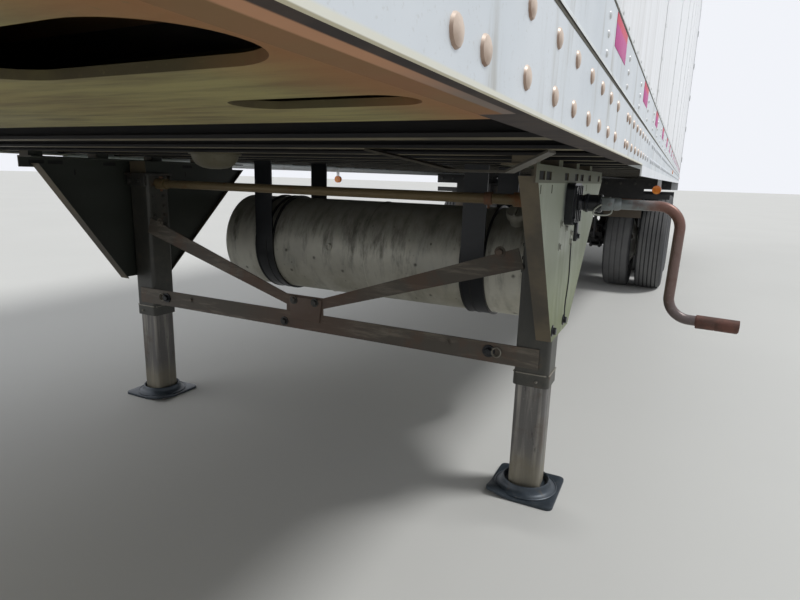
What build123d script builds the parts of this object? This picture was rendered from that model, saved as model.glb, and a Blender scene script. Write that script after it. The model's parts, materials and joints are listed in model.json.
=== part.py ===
"""Refrigerated van semi trailer, standing on its landing gear.

Millimetres. +X points to the nose, +Y to the trailer's left, +Z up.
The origin is on the kingpin's axis, on the underside of the coupler plate.
"""
import os
from math import asin, atan2, cos, degrees, hypot, sin

from build123d import *

os.makedirs("parts", exist_ok=True)

# Overall sizes
ride_height = 1236.0          # floor of the yard to the coupler plate's underside
nose_x = 914.0                # front face of the body, ahead of the kingpin
body_length = 13106.0         # a 43 foot body
body_width = 2590.0           # over the bottom rails
roof_top = 2860.0             # above the coupler plate's underside
ground_z = -ride_height
tail_x = nose_x - body_length
half_width = body_width / 2

# Bottom rails and floor
rail_thickness = 6.0
rail_bottom = -16.0
rail_top = 88.0
rail_lip = 40.0
rail_shelf = 63.0
rail_skirt_thickness = 4.0
rail_skirt_bottom = -46.0
rail_skirt_front_x = -2420.0  # the skirt strip runs from here to the rear
band_top = 181.5
band_thickness = 4.0
skin_inset = 5.0              # wall skin behind the rail's outer face
crossmember_top = 82.0
crossmember_bottom = -6.0
crossmember_flange = 60.0
crossmember_flange_thickness = 7.0
crossmember_web = 5.0
crossmember_pitch = 305.0
first_crossmember_x = -1506.0
floor_top = 200.0

# Walls, roof and nose
wall_thickness = 64.0
roof_thickness = 60.0
roof_crown = 20.0
roof_edge_flat = 80.0
nose_thickness = 76.0
nose_corner = 60.0
top_rail_height = 110.0
top_rail_thickness = 4.0

# Rear frame and doors
post_width = 85.0
frame_depth = 110.0
sill_bottom = -170.0
door_thickness = 76.0
door_gap = 8.0
door_proud = 8.0
door_bevel = 8.0
hinge_offset = 50.0           # hinge pin's axis behind the door's outer face
hinge_pin_radius = 8.0
hinge_barrel_radius = 14.0
hinge_play = 0.3
hinge_height = 60.0
hinge_count = 5
hinge_margin = 160.0          # first hinge's middle above the door's lower edge
hinge_leaf_inset = 9.0
lock_rod_places = (330.0, 900.0)
lock_rod_end = 10.0
handle_length = 430.0
handle_width = 34.0
handle_thickness = 9.0
handle_heights = (1080.0, 1290.0)   # above the door's lower edge, one for each rod
catch_width = 60.0
catch_height = 46.0
catch_reach = 26.0            # catches stand this far behind the frame
catch_gap = 14.0
keeper_count = 4
keeper_height = 60.0
keeper_width = 70.0
hinge_lug = 16.0
strap_length = 300.0
strap_thickness = 8.0
lock_rod_radius = 13.5
lock_rod_stand = 20.0

# Coupler and kingpin
coupler_rear_x = -1282.0
coupler_inset = 60.0          # plate's edge inside the body's side
coupler_half_width = half_width - coupler_inset
coupler_plate_thickness = 8.0
kingpin_collar_radius = 36.5
kingpin_collar_length = 25.4
kingpin_throat_radius = 25.4
kingpin_throat_length = 35.0
kingpin_flange_radius = 35.7
kingpin_length = 84.1

# Landing gear
leg_x = -2653.5
leg_half_spacing = 992.5
leg_outer = 127.0
leg_wall = 5.0
leg_play = 0.3
leg_corner = 16.0
leg_top = -92.0
leg_collar_z = -800.0
leg_collar_height = 46.0
leg_collar_step = 3.0
foot_size = 255.0
foot_plate = 12.0
foot_corner = 15.0
foot_floor = 26.0             # bottom of the dish that the ram stands in
wing_thickness = 5.0
wing_offset = 12.0            # wing plate's outer face beyond the leg tube
wing_outer_y = leg_half_spacing + leg_outer / 2 + wing_offset
wing_top = -56.0
wing_bottom = -602.0
wing_flange = 52.0
wing_slot_z = -90.0
wing_slot_height = 24.0
wing_slot_width = 9.0
wing_slot_places = (480.0, 335.0, -305.0)   # from the leg
shaft_z = -136.0
shaft_radius = 19.0
shaft_collar_radius = 26.0
shaft_collar_length = 60.0
gearbox_depth = 26.0
gearbox_length = 150.0
gearbox_height = 136.0
gearbox_top = -72.0
gearbox_corner = 22.0
gearbox_shift = 34.0          # housing's middle ahead of the shaft
gearbox_rib_count = 4
gearbox_rib = 7.0
boss_length = 16.0
boss_wide = 30.0
boss_narrow = 19.0
bearing_radius = 28.0
bearing_length = 60.0
crank_tube_radius = 16.5
crank_clevis_y = wing_outer_y + gearbox_depth + boss_length + bearing_length + 4
crank_out_y = crank_clevis_y + 240
crank_drop = 360.0
crank_grip_y = crank_out_y + 202
crank_grip_radius = 20.0
crank_grip_length = 122.0
brace_width = 76.0
brace_thickness = 6.0
brace_lip = 56.0
brace_overlap = 25.0          # brace's ends beyond the middle of each leg
brace_z = -694.0
brace_gusset_length = 190.0
brace_gusset_height = 150.0
brace_gusset_z = brace_z + brace_width / 2
brace_top_z = brace_z + 394      # upper edge of the diagonals at the legs
leg_rail_top = -25.0
leg_rail_height = 47.0
leg_rail_thickness = 6.0
leg_rail_length = 1250.0
leg_rail_shift = -52.0        # rail's middle behind the leg
leg_slot_length = 66.0
leg_slot_height = 23.0
leg_slot_z = -53.0
leg_slot_places = (500.0, 418.0, 154.0, -27.0, -142.0, -325.0, -580.0)   # from the leg
leg_pad_width = 60.0
first_leg_pad = 2             # crossmembers that the leg rails hang from
last_leg_pad = 5

# Fuel tank
tank_x = leg_x - 645.0
tank_radius = 254.0
tank_length = 1840.0
tank_dish = 60.0
tank_axis_z = -453.0
tank_strap_y = 590.0
tank_strap_width = 110.0
tank_strap_thickness = 8.0

# Drain bowl and the bent strap beside the legs
bowl_y = -100.0
bowl_radius = 113.0
bowl_depth = 66.0
strap_front_x = -1800.0
strap_width = 76.0
strap_plate = 5.0
strap_drop = 42.0

# Running gear
leg_to_axle = 5046.5
first_axle_x = leg_x - leg_to_axle
axle_spacing = 1245.0
tyre_radius = 515.0
tyre_width = 282.0
dual_spacing = 343.0
rim_radius = 292.0
dual_centre_y = half_width - tyre_width / 2 - dual_spacing / 2
tread_half = 112.0
tyre_sides = 44
bead_half = 95.0
bulge_rise = 110.0
shoulder_drop = 40.0
disc_bore_radius = 100.0
disc_flat_radius = 150.0
disc_bend_radius = rim_radius - 30
disc_bend_y = 60.0
disc_thickness = 13.0
rim_wall = 12.0
rim_flange = 8.0
rim_flange_half = 114.0
drum_radius = 207.0
drum_wall = 16.0
drum_length = 180.0
drum_offset = 125.0           # drum's middle inside the twin's middle plane
drum_web_offset = 42.0
drum_web = 14.0
hub_offset = 10.0
axle_radius = 63.5
axle_z = ground_z + tyre_radius
spindle_radius = 40.0
hub_play = 0.3
hub_radius = 115.0
hub_length = 280.0
flap_width = 600.0
flap_height = 760.0
flap_thickness = 8.0
flap_bar = 50.0
flap_top = -25.0
guard_width = 450.0
guard_height = 400.0
guard_strip = 100.0           # full-width upper strip of the guard
guard_inset = 10.0
slide_clearance = 6.0
flap_edge = 30.0
slider_y = 535.0
slider_rail_height = 118.0
slider_gap = 0.3
lock_hole_radius = 16.0
lock_hole_pitch = 152.4
lock_hole_count = 14
lock_hole_drop = 50.0
bogie_rail_height = 150.0
bogie_rail_width = 76.0
cross_tube_width = 90.0
cross_tube_height = 110.0
cross_tube_inset = 120.0      # end tubes from the rails' ends
bogie_front = 1000.0          # ahead of the first axle
bogie_rear = 760.0            # behind the second axle
spring_y = 535.0
spring_width = 76.0
spring_half_length = 540.0
spring_rise = 95.0
leaf_thickness = 16.0
leaf_shares = (1.0, 0.78, 0.55, 0.32)   # each leaf's length as a share of the longest
hanger_offset = 560.0
hanger_depth = 380.0
hanger_cheek = 8.0
pad_height = 40.0
pad_length = 90.0
rocker_half = 150.0
rocker_pin_radius = 26.0
rod_radius = 19.0
rod_eye_radius = 38.0
rod_eye_half = 34.0
rod_pin_radius = 14.0
rod_rear_reach = 95.0         # rod's rear eye ahead of the axle
u_bolt_radius = 10.0
u_bolt_half = 58.0
clamp_plate = 16.0
chamber_y = 330.0
chamber_front = 110.0
chamber_rise = 100.0
chamber_radius = 88.0
chamber_length = 150.0
chamber_band = 8.0
air_tank_radius = 110.0
air_tank_length = 760.0
air_tank_offset = 180.0       # behind the bogie's front cross tube
air_tank_dish = 30.0
air_arm_width = 50.0
air_arm_thickness = 8.0

spring_seat_z = axle_z + axle_radius + 14
under_z = crossmember_bottom
last_axle_x = first_axle_x - axle_spacing
leg_inner = leg_outer - 2 * leg_wall - 2 * leg_play
wall_outer_y = half_width - skin_inset
wall_inner_y = wall_outer_y - wall_thickness
roof_bottom = roof_top - roof_crown - roof_thickness
frame_front_x = tail_x + frame_depth
nose_inner_x = nose_x - nose_thickness
door_outer_x = tail_x - door_proud
door_inner_x = door_outer_x + door_thickness
hinge_x = door_outer_x - hinge_offset
hinge_y = half_width - 5.0
door_top = roof_bottom - 148.0
door_bottom = floor_top + door_gap
hinge_pitch = (door_top - door_bottom - 2 * hinge_margin) / (hinge_count - 1)
keeper_pitch = (door_top - door_bottom - 3 * keeper_height) / (keeper_count - 1)


def finish(part, name):
    """Label a finished sub-part and write it under its own name."""
    part.label = name
    export_step(part, "parts/" + name + ".step")


# Floor: one insulated slab between the side walls
with BuildPart() as floor:
    with BuildSketch(Plane.YZ.offset(frame_front_x)):
        with Locations((0, (crossmember_top + floor_top) / 2)):
            Rectangle(2 * wall_inner_y, floor_top - crossmember_top)
    extrude(amount=nose_inner_x - frame_front_x)
finish(floor.part, "floor")

# Crossmembers: I beams from rail to rail behind the coupler
crossmember_half = half_width - rail_thickness
crossmember_count = int((first_crossmember_x - frame_front_x) / crossmember_pitch) + 1
with BuildPart() as crossmembers:
    with BuildSketch(Plane.XZ.offset(-crossmember_half)):
        for index in range(crossmember_count):
            beam_x = first_crossmember_x - index * crossmember_pitch
            with Locations((beam_x, (crossmember_top + crossmember_bottom) / 2)):
                Rectangle(crossmember_web, crossmember_top - crossmember_bottom)
            with Locations((beam_x, crossmember_bottom + crossmember_flange_thickness / 2),
                           (beam_x, crossmember_top - crossmember_flange_thickness / 2)):
                Rectangle(crossmember_flange, crossmember_flange_thickness)
    extrude(amount=2 * crossmember_half)
finish(crossmembers.part, "crossmembers")

# Bottom rails: a lipped extrusion along each side, with a skirt strip and an arm for the side lamp
rail_front_x = nose_inner_x
side_lamp_x = leg_x - 2156
side_lamp_y = half_width - 50
side_lamp_z = -106.0
side_lamp_radius = 28.0
side_lamp_depth = 26.0
lamp_arm = 5.0
lamp_arm_width = 24.0
with BuildPart() as bottom_rails:
    for side in (1, -1):
        with BuildSketch(Plane.YZ.offset(frame_front_x)):
            with BuildLine():
                Polyline(
                    (side * half_width, rail_bottom),
                    (side * half_width, rail_top),
                    (side * (half_width - rail_shelf), rail_top),
                    (side * (half_width - rail_shelf), crossmember_top),
                    (side * (half_width - rail_thickness), crossmember_top),
                    (side * (half_width - rail_thickness), rail_bottom + rail_thickness),
                    (side * (half_width - rail_lip), rail_bottom + rail_thickness),
                    (side * (half_width - rail_lip), rail_bottom),
                    close=True,
                )
            make_face()
        extrude(amount=rail_front_x - frame_front_x)
        with BuildSketch(Plane.YZ.offset(frame_front_x)):
            with Locations((side * (half_width - rail_skirt_thickness / 2), rail_skirt_bottom / 2)):
                Rectangle(rail_skirt_thickness, -rail_skirt_bottom)
        extrude(amount=rail_skirt_front_x - frame_front_x)
        with BuildSketch(Plane.XY.offset(rail_bottom)):
            with Locations((side_lamp_x - lamp_arm / 2, side * (side_lamp_y + lamp_arm_width / 2))):
                Rectangle(lamp_arm, lamp_arm_width)
        extrude(amount=side_lamp_z - rail_bottom)
finish(bottom_rails.part, "bottom_rails")

# Side walls: insulated panels, each one panel thick
for side, wall_name in ((1, "side_wall_left"), (-1, "side_wall_right")):
    with BuildPart() as side_wall:
        with BuildSketch(Plane.YZ.offset(frame_front_x)):
            with Locations((side * (wall_outer_y + wall_inner_y) / 2, (rail_top + roof_bottom) / 2)):
                Rectangle(wall_thickness, roof_bottom - rail_top)
        extrude(amount=nose_inner_x - frame_front_x)
    finish(side_wall.part, wall_name)

# Rail bands: the riveted strips over the walls' lower edges
with BuildPart() as rail_bands:
    for side in (1, -1):
        with BuildSketch(Plane.YZ.offset(frame_front_x)):
            with Locations((side * (wall_outer_y + band_thickness / 2), (rail_top + band_top) / 2)):
                Rectangle(band_thickness, band_top - rail_top)
        extrude(amount=rail_front_x - frame_front_x)
finish(rail_bands.part, "rail_bands")

# Roof: crowned between two flat edges that the top rails cap
roof_edge_z = roof_top - roof_crown
with BuildPart() as roof:
    with BuildSketch(Plane.YZ.offset(frame_front_x)):
        with BuildLine():
            Polyline(
                (-(wall_outer_y - roof_edge_flat), roof_edge_z),
                (-wall_outer_y, roof_edge_z),
                (-wall_outer_y, roof_bottom),
                (wall_outer_y, roof_bottom),
                (wall_outer_y, roof_edge_z),
                (wall_outer_y - roof_edge_flat, roof_edge_z),
            )
            ThreePointArc(
                (wall_outer_y - roof_edge_flat, roof_edge_z),
                (0, roof_top),
                (-(wall_outer_y - roof_edge_flat), roof_edge_z),
            )
        make_face()
    extrude(amount=nose_inner_x - frame_front_x)
finish(roof.part, "roof")

# Top rails: angles over the edge where wall and roof meet
with BuildPart() as top_rails:
    for side in (1, -1):
        with BuildSketch(Plane.YZ.offset(frame_front_x)):
            with BuildLine():
                Polyline(
                    (side * wall_outer_y, roof_edge_z - top_rail_height),
                    (side * (wall_outer_y + top_rail_thickness), roof_edge_z - top_rail_height),
                    (side * (wall_outer_y + top_rail_thickness), roof_edge_z + top_rail_thickness),
                    (side * (wall_outer_y - roof_edge_flat), roof_edge_z + top_rail_thickness),
                    (side * (wall_outer_y - roof_edge_flat), roof_edge_z),
                    (side * wall_outer_y, roof_edge_z),
                    close=True,
                )
            make_face()
        extrude(amount=nose_inner_x - frame_front_x)
finish(top_rails.part, "top_rails")

# Nose: the front wall with rounded corner posts
with BuildPart() as front_wall:
    with BuildSketch(Plane.XY.offset(crossmember_top)):
        with Locations(((nose_inner_x + nose_x) / 2, 0)):
            Rectangle(nose_thickness, body_width)
    extrude(amount=roof_edge_z + top_rail_thickness - crossmember_top)
    fillet(front_wall.edges().filter_by(Axis.Z).group_by(Axis.X)[-1], radius=nose_corner)
finish(front_wall.part, "front_wall")

# Rear frame: posts, header and lamp sill round the doorway, hinge lugs and catches for the lock rods
post_inner_y = half_width - post_width
with BuildPart() as rear_frame:
    with BuildSketch(Plane.YZ.offset(tail_x)):
        with Locations((0, (sill_bottom + roof_edge_z) / 2)):
            Rectangle(body_width, roof_edge_z - sill_bottom)
        with Locations((0, (floor_top + door_top + door_gap) / 2)):
            Rectangle(2 * post_inner_y, door_top + door_gap - floor_top, mode=Mode.SUBTRACT)
    extrude(amount=frame_depth)
    for lug_index in range(hinge_count):
        hinge_z = door_bottom + hinge_margin + lug_index * hinge_pitch
        for side in (1, -1):
            for lug_z in (hinge_z - hinge_height / 2 - hinge_lug, hinge_z + hinge_height / 2):
                with BuildSketch(Plane.XY.offset(lug_z)):
                    with Locations((hinge_x, side * hinge_y)):
                        Circle(hinge_barrel_radius)
                    with Locations(((hinge_x + tail_x + 20) / 2, side * (hinge_y - hinge_leaf_inset))):
                        Rectangle(tail_x + 20 - hinge_x, 10)
                extrude(amount=hinge_lug)
            with BuildSketch(Plane.XY.offset(hinge_z - hinge_height / 2)):
                with Locations((hinge_x, side * hinge_y)):
                    Circle(hinge_pin_radius)
            extrude(amount=hinge_height)
    for catch_z in (floor_top - catch_gap - catch_height, door_top + door_gap + catch_gap):
        with BuildSketch(Plane.XY.offset(catch_z)):
            for rod_y in lock_rod_places:
                with Locations((tail_x - catch_reach / 2, rod_y), (tail_x - catch_reach / 2, -rod_y)):
                    Rectangle(catch_reach, catch_width)
                    Rectangle(catch_reach / 2, catch_width / 2, mode=Mode.SUBTRACT)
        extrude(amount=catch_height)
finish(rear_frame.part, "rear_frame")

# Rear doors: insulated leaves with slanted meeting edges, and their hinge straps, lock rods and handles
for side, side_name in ((1, "left"), (-1, "right")):
    edge_y = post_inner_y - door_gap
    with BuildPart() as rear_door:
        with BuildSketch(Plane.XY.offset(door_bottom)):
            with BuildLine():
                Polyline(
                    (door_outer_x, side * door_gap / 2),
                    (door_outer_x, side * edge_y),
                    (door_inner_x, side * (edge_y - door_bevel)),
                    (door_inner_x, side * (door_gap / 2 + door_bevel)),
                    close=True,
                )
            make_face()
        extrude(amount=door_top - door_bottom)
    finish(rear_door.part, "rear_door_" + side_name)

    with BuildPart() as door_gear:
        for strap_index in range(hinge_count):
            hinge_z = door_bottom + hinge_margin + strap_index * hinge_pitch
            strap_z = hinge_z - hinge_height / 2 + hinge_play
            with BuildSketch(Plane.XY.offset(strap_z)):
                with Locations((hinge_x, side * hinge_y)):
                    Circle(hinge_barrel_radius)
                with Locations(((hinge_x + door_outer_x - strap_thickness) / 2, side * (hinge_y - hinge_leaf_inset))):
                    Rectangle(hinge_offset - strap_thickness, 10)
                with Locations((door_outer_x - strap_thickness / 2, side * (hinge_y - strap_length / 2))):
                    Rectangle(strap_thickness, strap_length + 2 * 4)
                with Locations((hinge_x, side * hinge_y)):
                    Circle(hinge_pin_radius + hinge_play, mode=Mode.SUBTRACT)
            extrude(amount=hinge_height - 2 * hinge_play)
        for rod_y, handle_height, reach in zip(lock_rod_places, handle_heights, (1, -1)):
            rod_x = door_outer_x - lock_rod_stand
            with BuildSketch(Plane.XY.offset(door_bottom + lock_rod_end)):
                with Locations((rod_x, side * rod_y)):
                    Circle(lock_rod_radius)
            extrude(amount=door_top - door_bottom - 2 * lock_rod_end)
            for cam_z in (door_bottom + lock_rod_end, door_top - lock_rod_end - handle_width):
                with BuildSketch(Plane.XY.offset(cam_z)):
                    with Locations((rod_x, side * rod_y)):
                        Rectangle(2 * lock_rod_radius, catch_width)
                extrude(amount=handle_width)
            handle_y = side * (rod_y + reach * handle_length / 2)
            with BuildSketch(Plane.XY.offset(door_bottom + handle_height)):
                with Locations((rod_x, handle_y)):
                    Rectangle(handle_thickness, handle_length)
            extrude(amount=handle_width)
            with BuildSketch(Plane.XY.offset(door_bottom + handle_height - 10)):
                with Locations(((rod_x + door_outer_x) / 2, side * (rod_y + reach * (handle_length - 60)))):
                    Rectangle(lock_rod_stand, keeper_width)
            extrude(amount=handle_width + 20)
            for keeper in range(keeper_count):
                keeper_z = door_bottom + keeper_height + keeper * keeper_pitch
                with BuildSketch(Plane.XY.offset(keeper_z)):
                    with Locations(((rod_x + door_outer_x) / 2, side * rod_y)):
                        Rectangle(lock_rod_stand, keeper_width)
                extrude(amount=keeper_height)
    finish(door_gear.part, "door_gear_" + side_name)

# Coupler: the pick-up plate with its oblong holes, welded side flanges and ribs
coupler_length = nose_x - coupler_rear_x
coupler_mid_x = (nose_x + coupler_rear_x) / 2
# columns: centre x, centre y, length along X, length along Y
coupler_holes = (
    (-1112, 1090, 70, 206),
    (-880, 1050, 120, 300),
    (-520, 1050, 120, 300),
    (-160, 1050, 120, 300),
    (200, 1050, 120, 300),
    (560, 1050, 120, 300),
    (-700, 420, 120, 300),
    (560, 420, 120, 300),
)
with BuildPart() as coupler_plate:
    with BuildSketch(Plane.XY):
        with Locations((coupler_mid_x, 0)):
            Rectangle(coupler_length, 2 * coupler_half_width)
        for hole_x, hole_y, hole_length, hole_width in coupler_holes:
            with Locations((hole_x, hole_y), (hole_x, -hole_y)):
                RectangleRounded(hole_length, hole_width, hole_length / 2 - 1, mode=Mode.SUBTRACT)
    extrude(amount=coupler_plate_thickness)
    for rib_x in (coupler_rear_x + 60, -760, -340, 20, 380, 740):
        with BuildSketch(Plane.XY.offset(coupler_plate_thickness)):
            with Locations((rib_x, 0)):
                Rectangle(8, 2 * coupler_half_width - 20)
        extrude(amount=crossmember_top - coupler_plate_thickness)
    with BuildSketch(Plane.XY.offset(coupler_plate_thickness)):
        with Locations((coupler_mid_x, coupler_half_width - 4), (coupler_mid_x, -coupler_half_width + 4)):
            Rectangle(coupler_length, 8)
    extrude(amount=crossmember_top - coupler_plate_thickness)
finish(coupler_plate.part, "coupler_plate")

# Kingpin: collar against the plate, throat for the jaws, lower flange
with BuildPart() as kingpin:
    with BuildSketch(Plane.XZ):
        with BuildLine():
            Polyline(
                (0, 0),
                (kingpin_collar_radius, 0),
                (kingpin_collar_radius, -kingpin_collar_length),
                (kingpin_throat_radius, -kingpin_collar_length),
                (kingpin_throat_radius, -kingpin_collar_length - kingpin_throat_length),
                (kingpin_flange_radius, -kingpin_collar_length - kingpin_throat_length),
                (kingpin_flange_radius, -kingpin_length + 4),
                (kingpin_flange_radius - 4, -kingpin_length),
                (0, -kingpin_length),
                close=True,
            )
        make_face()
    revolve(axis=Axis.Z)
finish(kingpin.part, "kingpin")

# Leg tubes with the collar at each lower end
leg_bore = leg_outer - 2 * leg_wall
leg_collar = leg_outer + 2 * leg_collar_step
with BuildPart() as leg_tubes:
    for side in (1, -1):
        with BuildSketch(Plane.XY.offset(leg_collar_z)):
            with Locations((leg_x, side * leg_half_spacing)):
                RectangleRounded(leg_outer, leg_outer, leg_corner)
                RectangleRounded(leg_bore, leg_bore, leg_corner - leg_wall, mode=Mode.SUBTRACT)
        extrude(amount=leg_top - leg_collar_z)
        with BuildSketch(Plane.XY.offset(leg_collar_z)):
            with Locations((leg_x, side * leg_half_spacing)):
                RectangleRounded(leg_collar, leg_collar, leg_corner + leg_collar_step)
                RectangleRounded(leg_bore, leg_bore, leg_corner - leg_wall, mode=Mode.SUBTRACT)
        extrude(amount=leg_collar_height)
        with BuildSketch(Plane.XY.offset(leg_top - leg_wall)):
            with Locations((leg_x, side * leg_half_spacing)):
                RectangleRounded(leg_outer, leg_outer, leg_corner)
        extrude(amount=leg_wall)
finish(leg_tubes.part, "leg_tubes")

# Leg rams: the inner tubes, cranked down to the feet
ram_bottom = ground_z + foot_floor
ram_corner = leg_corner + 3
with BuildPart() as leg_rams:
    for side in (1, -1):
        with BuildSketch(Plane.XY.offset(ram_bottom)):
            with Locations((leg_x, side * leg_half_spacing)):
                RectangleRounded(leg_inner, leg_inner, ram_corner)
                RectangleRounded(leg_inner - 2 * leg_wall, leg_inner - 2 * leg_wall, ram_corner - leg_wall,
                                 mode=Mode.SUBTRACT)
        extrude(amount=leg_collar_z + 200 - ram_bottom)
finish(leg_rams.part, "leg_rams")

# Feet: square pads that carry a spun dish with a raised ring round the ram
# columns: radius, height above the ground
foot_dish = ((0, foot_plate), (118, foot_plate), (112, 30), (104, 38), (101, 52), (97, 52), (93, 40),
             (90, foot_floor), (0, foot_floor))
with BuildPart() as leg_feet:
    for side in (1, -1):
        foot_y = side * leg_half_spacing
        with BuildSketch(Plane.XY.offset(ground_z)):
            with Locations((leg_x, foot_y)):
                RectangleRounded(foot_size, foot_size, foot_corner)
        extrude(amount=foot_plate)
        with BuildSketch(Plane.YZ.offset(leg_x)):
            with BuildLine():
                Polyline(*[(foot_y + r, ground_z + height) for r, height in foot_dish], close=True)
            make_face()
        revolve(axis=Axis((leg_x, foot_y, 0), (0, 0, 1)))
finish(leg_feet.part, "leg_feet")

# Wing plates: trapezoid pans whose edges turn inwards
# columns: x from the leg, z
wing_outline = ((524, wing_top), (138, wing_bottom), (-156, wing_bottom), (-746, wing_top))
with BuildPart() as wing_plates:
    for side in (1, -1):
        with BuildSketch(Plane.XZ.offset(-side * wing_outer_y)):
            with BuildLine():
                Polyline(*[(leg_x + x, z) for x, z in wing_outline], close=True)
            make_face()
            with Locations(*[(leg_x + x, wing_slot_z) for x in wing_slot_places]):
                Rectangle(wing_slot_width, wing_slot_height, mode=Mode.SUBTRACT)
        extrude(amount=side * wing_thickness)
        for (x0, z0), (x1, z1), width in (
            (wing_outline[0], wing_outline[1], wing_flange),
            (wing_outline[3], wing_outline[2], wing_flange / 2),
        ):
            inward = -1 if x0 > 0 else 1
            run = hypot(x1 - x0, z1 - z0)
            shift_x = inward * wing_thickness * abs(z1 - z0) / run
            with BuildSketch(Plane.XZ.offset(-side * (wing_outer_y - wing_thickness))):
                with BuildLine():
                    Polyline(
                        (leg_x + x0, z0),
                        (leg_x + x1, z1),
                        (leg_x + x1 + shift_x * 1.3, z1),
                        (leg_x + x0 + shift_x * 1.3, z0),
                        close=True,
                    )
                make_face()
            extrude(amount=side * (width - wing_thickness))
finish(wing_plates.part, "wing_plates")

# Leg rails: slotted angles on pads under the crossmembers, which hang the legs and wing plates
leg_rail_y = wing_outer_y + leg_rail_thickness
leg_rail_x = leg_x + leg_rail_shift
leg_pad_y = leg_rail_y - leg_rail_thickness - leg_pad_width / 2
with BuildPart() as leg_rails:
    for side in (1, -1):
        with BuildSketch(Plane.XZ.offset(-side * leg_rail_y)):
            with Locations((leg_rail_x, leg_rail_top - leg_rail_height / 2)):
                Rectangle(leg_rail_length, leg_rail_height)
            with Locations(*[(leg_x + x, leg_slot_z) for x in leg_slot_places]):
                Rectangle(leg_slot_length, leg_slot_height, mode=Mode.SUBTRACT)
        extrude(amount=side * leg_rail_thickness)
        with BuildSketch(Plane.XY.offset(leg_rail_top - leg_rail_thickness)):
            with Locations((leg_rail_x, side * (leg_rail_y - leg_rail_thickness - 40))):
                Rectangle(leg_rail_length, 80 + 2 * leg_rail_thickness)
        extrude(amount=leg_rail_thickness)
        with BuildSketch(Plane.XY.offset(leg_rail_top)):
            for index in range(first_leg_pad, last_leg_pad + 1):
                with Locations((first_crossmember_x - index * crossmember_pitch, side * leg_pad_y)):
                    Rectangle(crossmember_flange, leg_pad_width)
        extrude(amount=crossmember_bottom - leg_rail_top)
        with BuildSketch(Plane.XY.offset(leg_top)):
            with Locations((leg_x, side * leg_half_spacing)):
                Rectangle(120, 110)
        extrude(amount=leg_rail_top - leg_rail_thickness - leg_top)
finish(leg_rails.part, "leg_rails")

# Brace between the legs: one level angle, two diagonals and a middle plate
brace_x = leg_x + leg_outer / 2
brace_half = leg_half_spacing - leg_outer / 2
with BuildPart() as leg_brace:
    with BuildSketch(Plane.YZ.offset(brace_x)):
        with Locations((0, brace_z)):
            Rectangle(2 * (leg_half_spacing + brace_overlap), brace_width)
        for side in (1, -1):
            with BuildLine():
                Polyline(
                    (side * 40, brace_z + 94),
                    (side * 20, brace_z + 44),
                    (side * (brace_half + 10), brace_top_z - 72),
                    (side * (brace_half - 15), brace_top_z),
                    close=True,
                )
            make_face()
        with Locations((0, brace_gusset_z)):
            Rectangle(brace_gusset_length, brace_gusset_height)
    extrude(amount=brace_thickness)
    with BuildSketch(Plane.XY.offset(brace_z - brace_width / 2)):
        with Locations((brace_x + brace_thickness - brace_lip / 2, 0)):
            Rectangle(brace_lip, 2 * (brace_half - 2))
    extrude(amount=brace_thickness)
finish(leg_brace.part, "leg_brace")

# Cross shaft between the two leg gears
shaft_half = leg_half_spacing - leg_outer / 2
with BuildPart() as cross_shaft:
    with BuildSketch(Plane.XZ.offset(shaft_half)):
        with Locations((leg_x, shaft_z)):
            Circle(shaft_radius)
    extrude(amount=-2 * shaft_half)
    for collar_y in (-shaft_half, shaft_half - shaft_collar_length):
        with BuildSketch(Plane.XZ.offset(-collar_y)):
            with Locations((leg_x, shaft_z)):
                Circle(shaft_collar_radius)
        extrude(amount=-shaft_collar_length)
finish(cross_shaft.part, "cross_shaft")

# Gearbox on the left leg: a ribbed housing, its boss and the bearing that carries the crank
gearbox_outer_y = wing_outer_y + gearbox_depth
boss_outer_y = gearbox_outer_y + boss_length
bearing_outer_y = boss_outer_y + bearing_length
gearbox_x = leg_x + gearbox_shift
rib_pitch = (gearbox_length - 2 * gearbox_corner) / (gearbox_rib_count - 1)
with BuildPart() as gearbox:
    with BuildSketch(Plane.XZ.offset(-wing_outer_y)):
        with Locations((gearbox_x, gearbox_top - gearbox_height / 2)):
            RectangleRounded(gearbox_length, gearbox_height, gearbox_corner)
    extrude(amount=-gearbox_depth)
    for rib in range(gearbox_rib_count):
        rib_x = gearbox_x - gearbox_length / 2 + gearbox_corner + rib * rib_pitch
        with BuildSketch(Plane.XZ.offset(-gearbox_outer_y)):
            with Locations((rib_x, gearbox_top - gearbox_height / 2)):
                Rectangle(gearbox_rib, gearbox_height - 16)
        extrude(amount=-gearbox_rib)
    with BuildSketch(Plane.YZ.offset(leg_x)):
        with BuildLine():
            Polyline(
                (gearbox_outer_y, shaft_z + shaft_radius + hinge_play),
                (gearbox_outer_y, shaft_z + boss_wide),
                (boss_outer_y, shaft_z + boss_narrow + 5),
                (boss_outer_y, shaft_z + bearing_radius),
                (bearing_outer_y, shaft_z + bearing_radius),
                (bearing_outer_y, shaft_z + shaft_radius + hinge_play),
                close=True,
            )
        make_face()
    revolve(axis=Axis((leg_x, 0, shaft_z), (0, 1, 0)))
    with BuildSketch(Plane.XZ.offset(-gearbox_outer_y)):
        with Locations((leg_x, shaft_z)):
            Circle(shaft_radius + hinge_play)
    extrude(amount=-bearing_length - boss_length, mode=Mode.SUBTRACT)
finish(gearbox.part, "gearbox")

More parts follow.
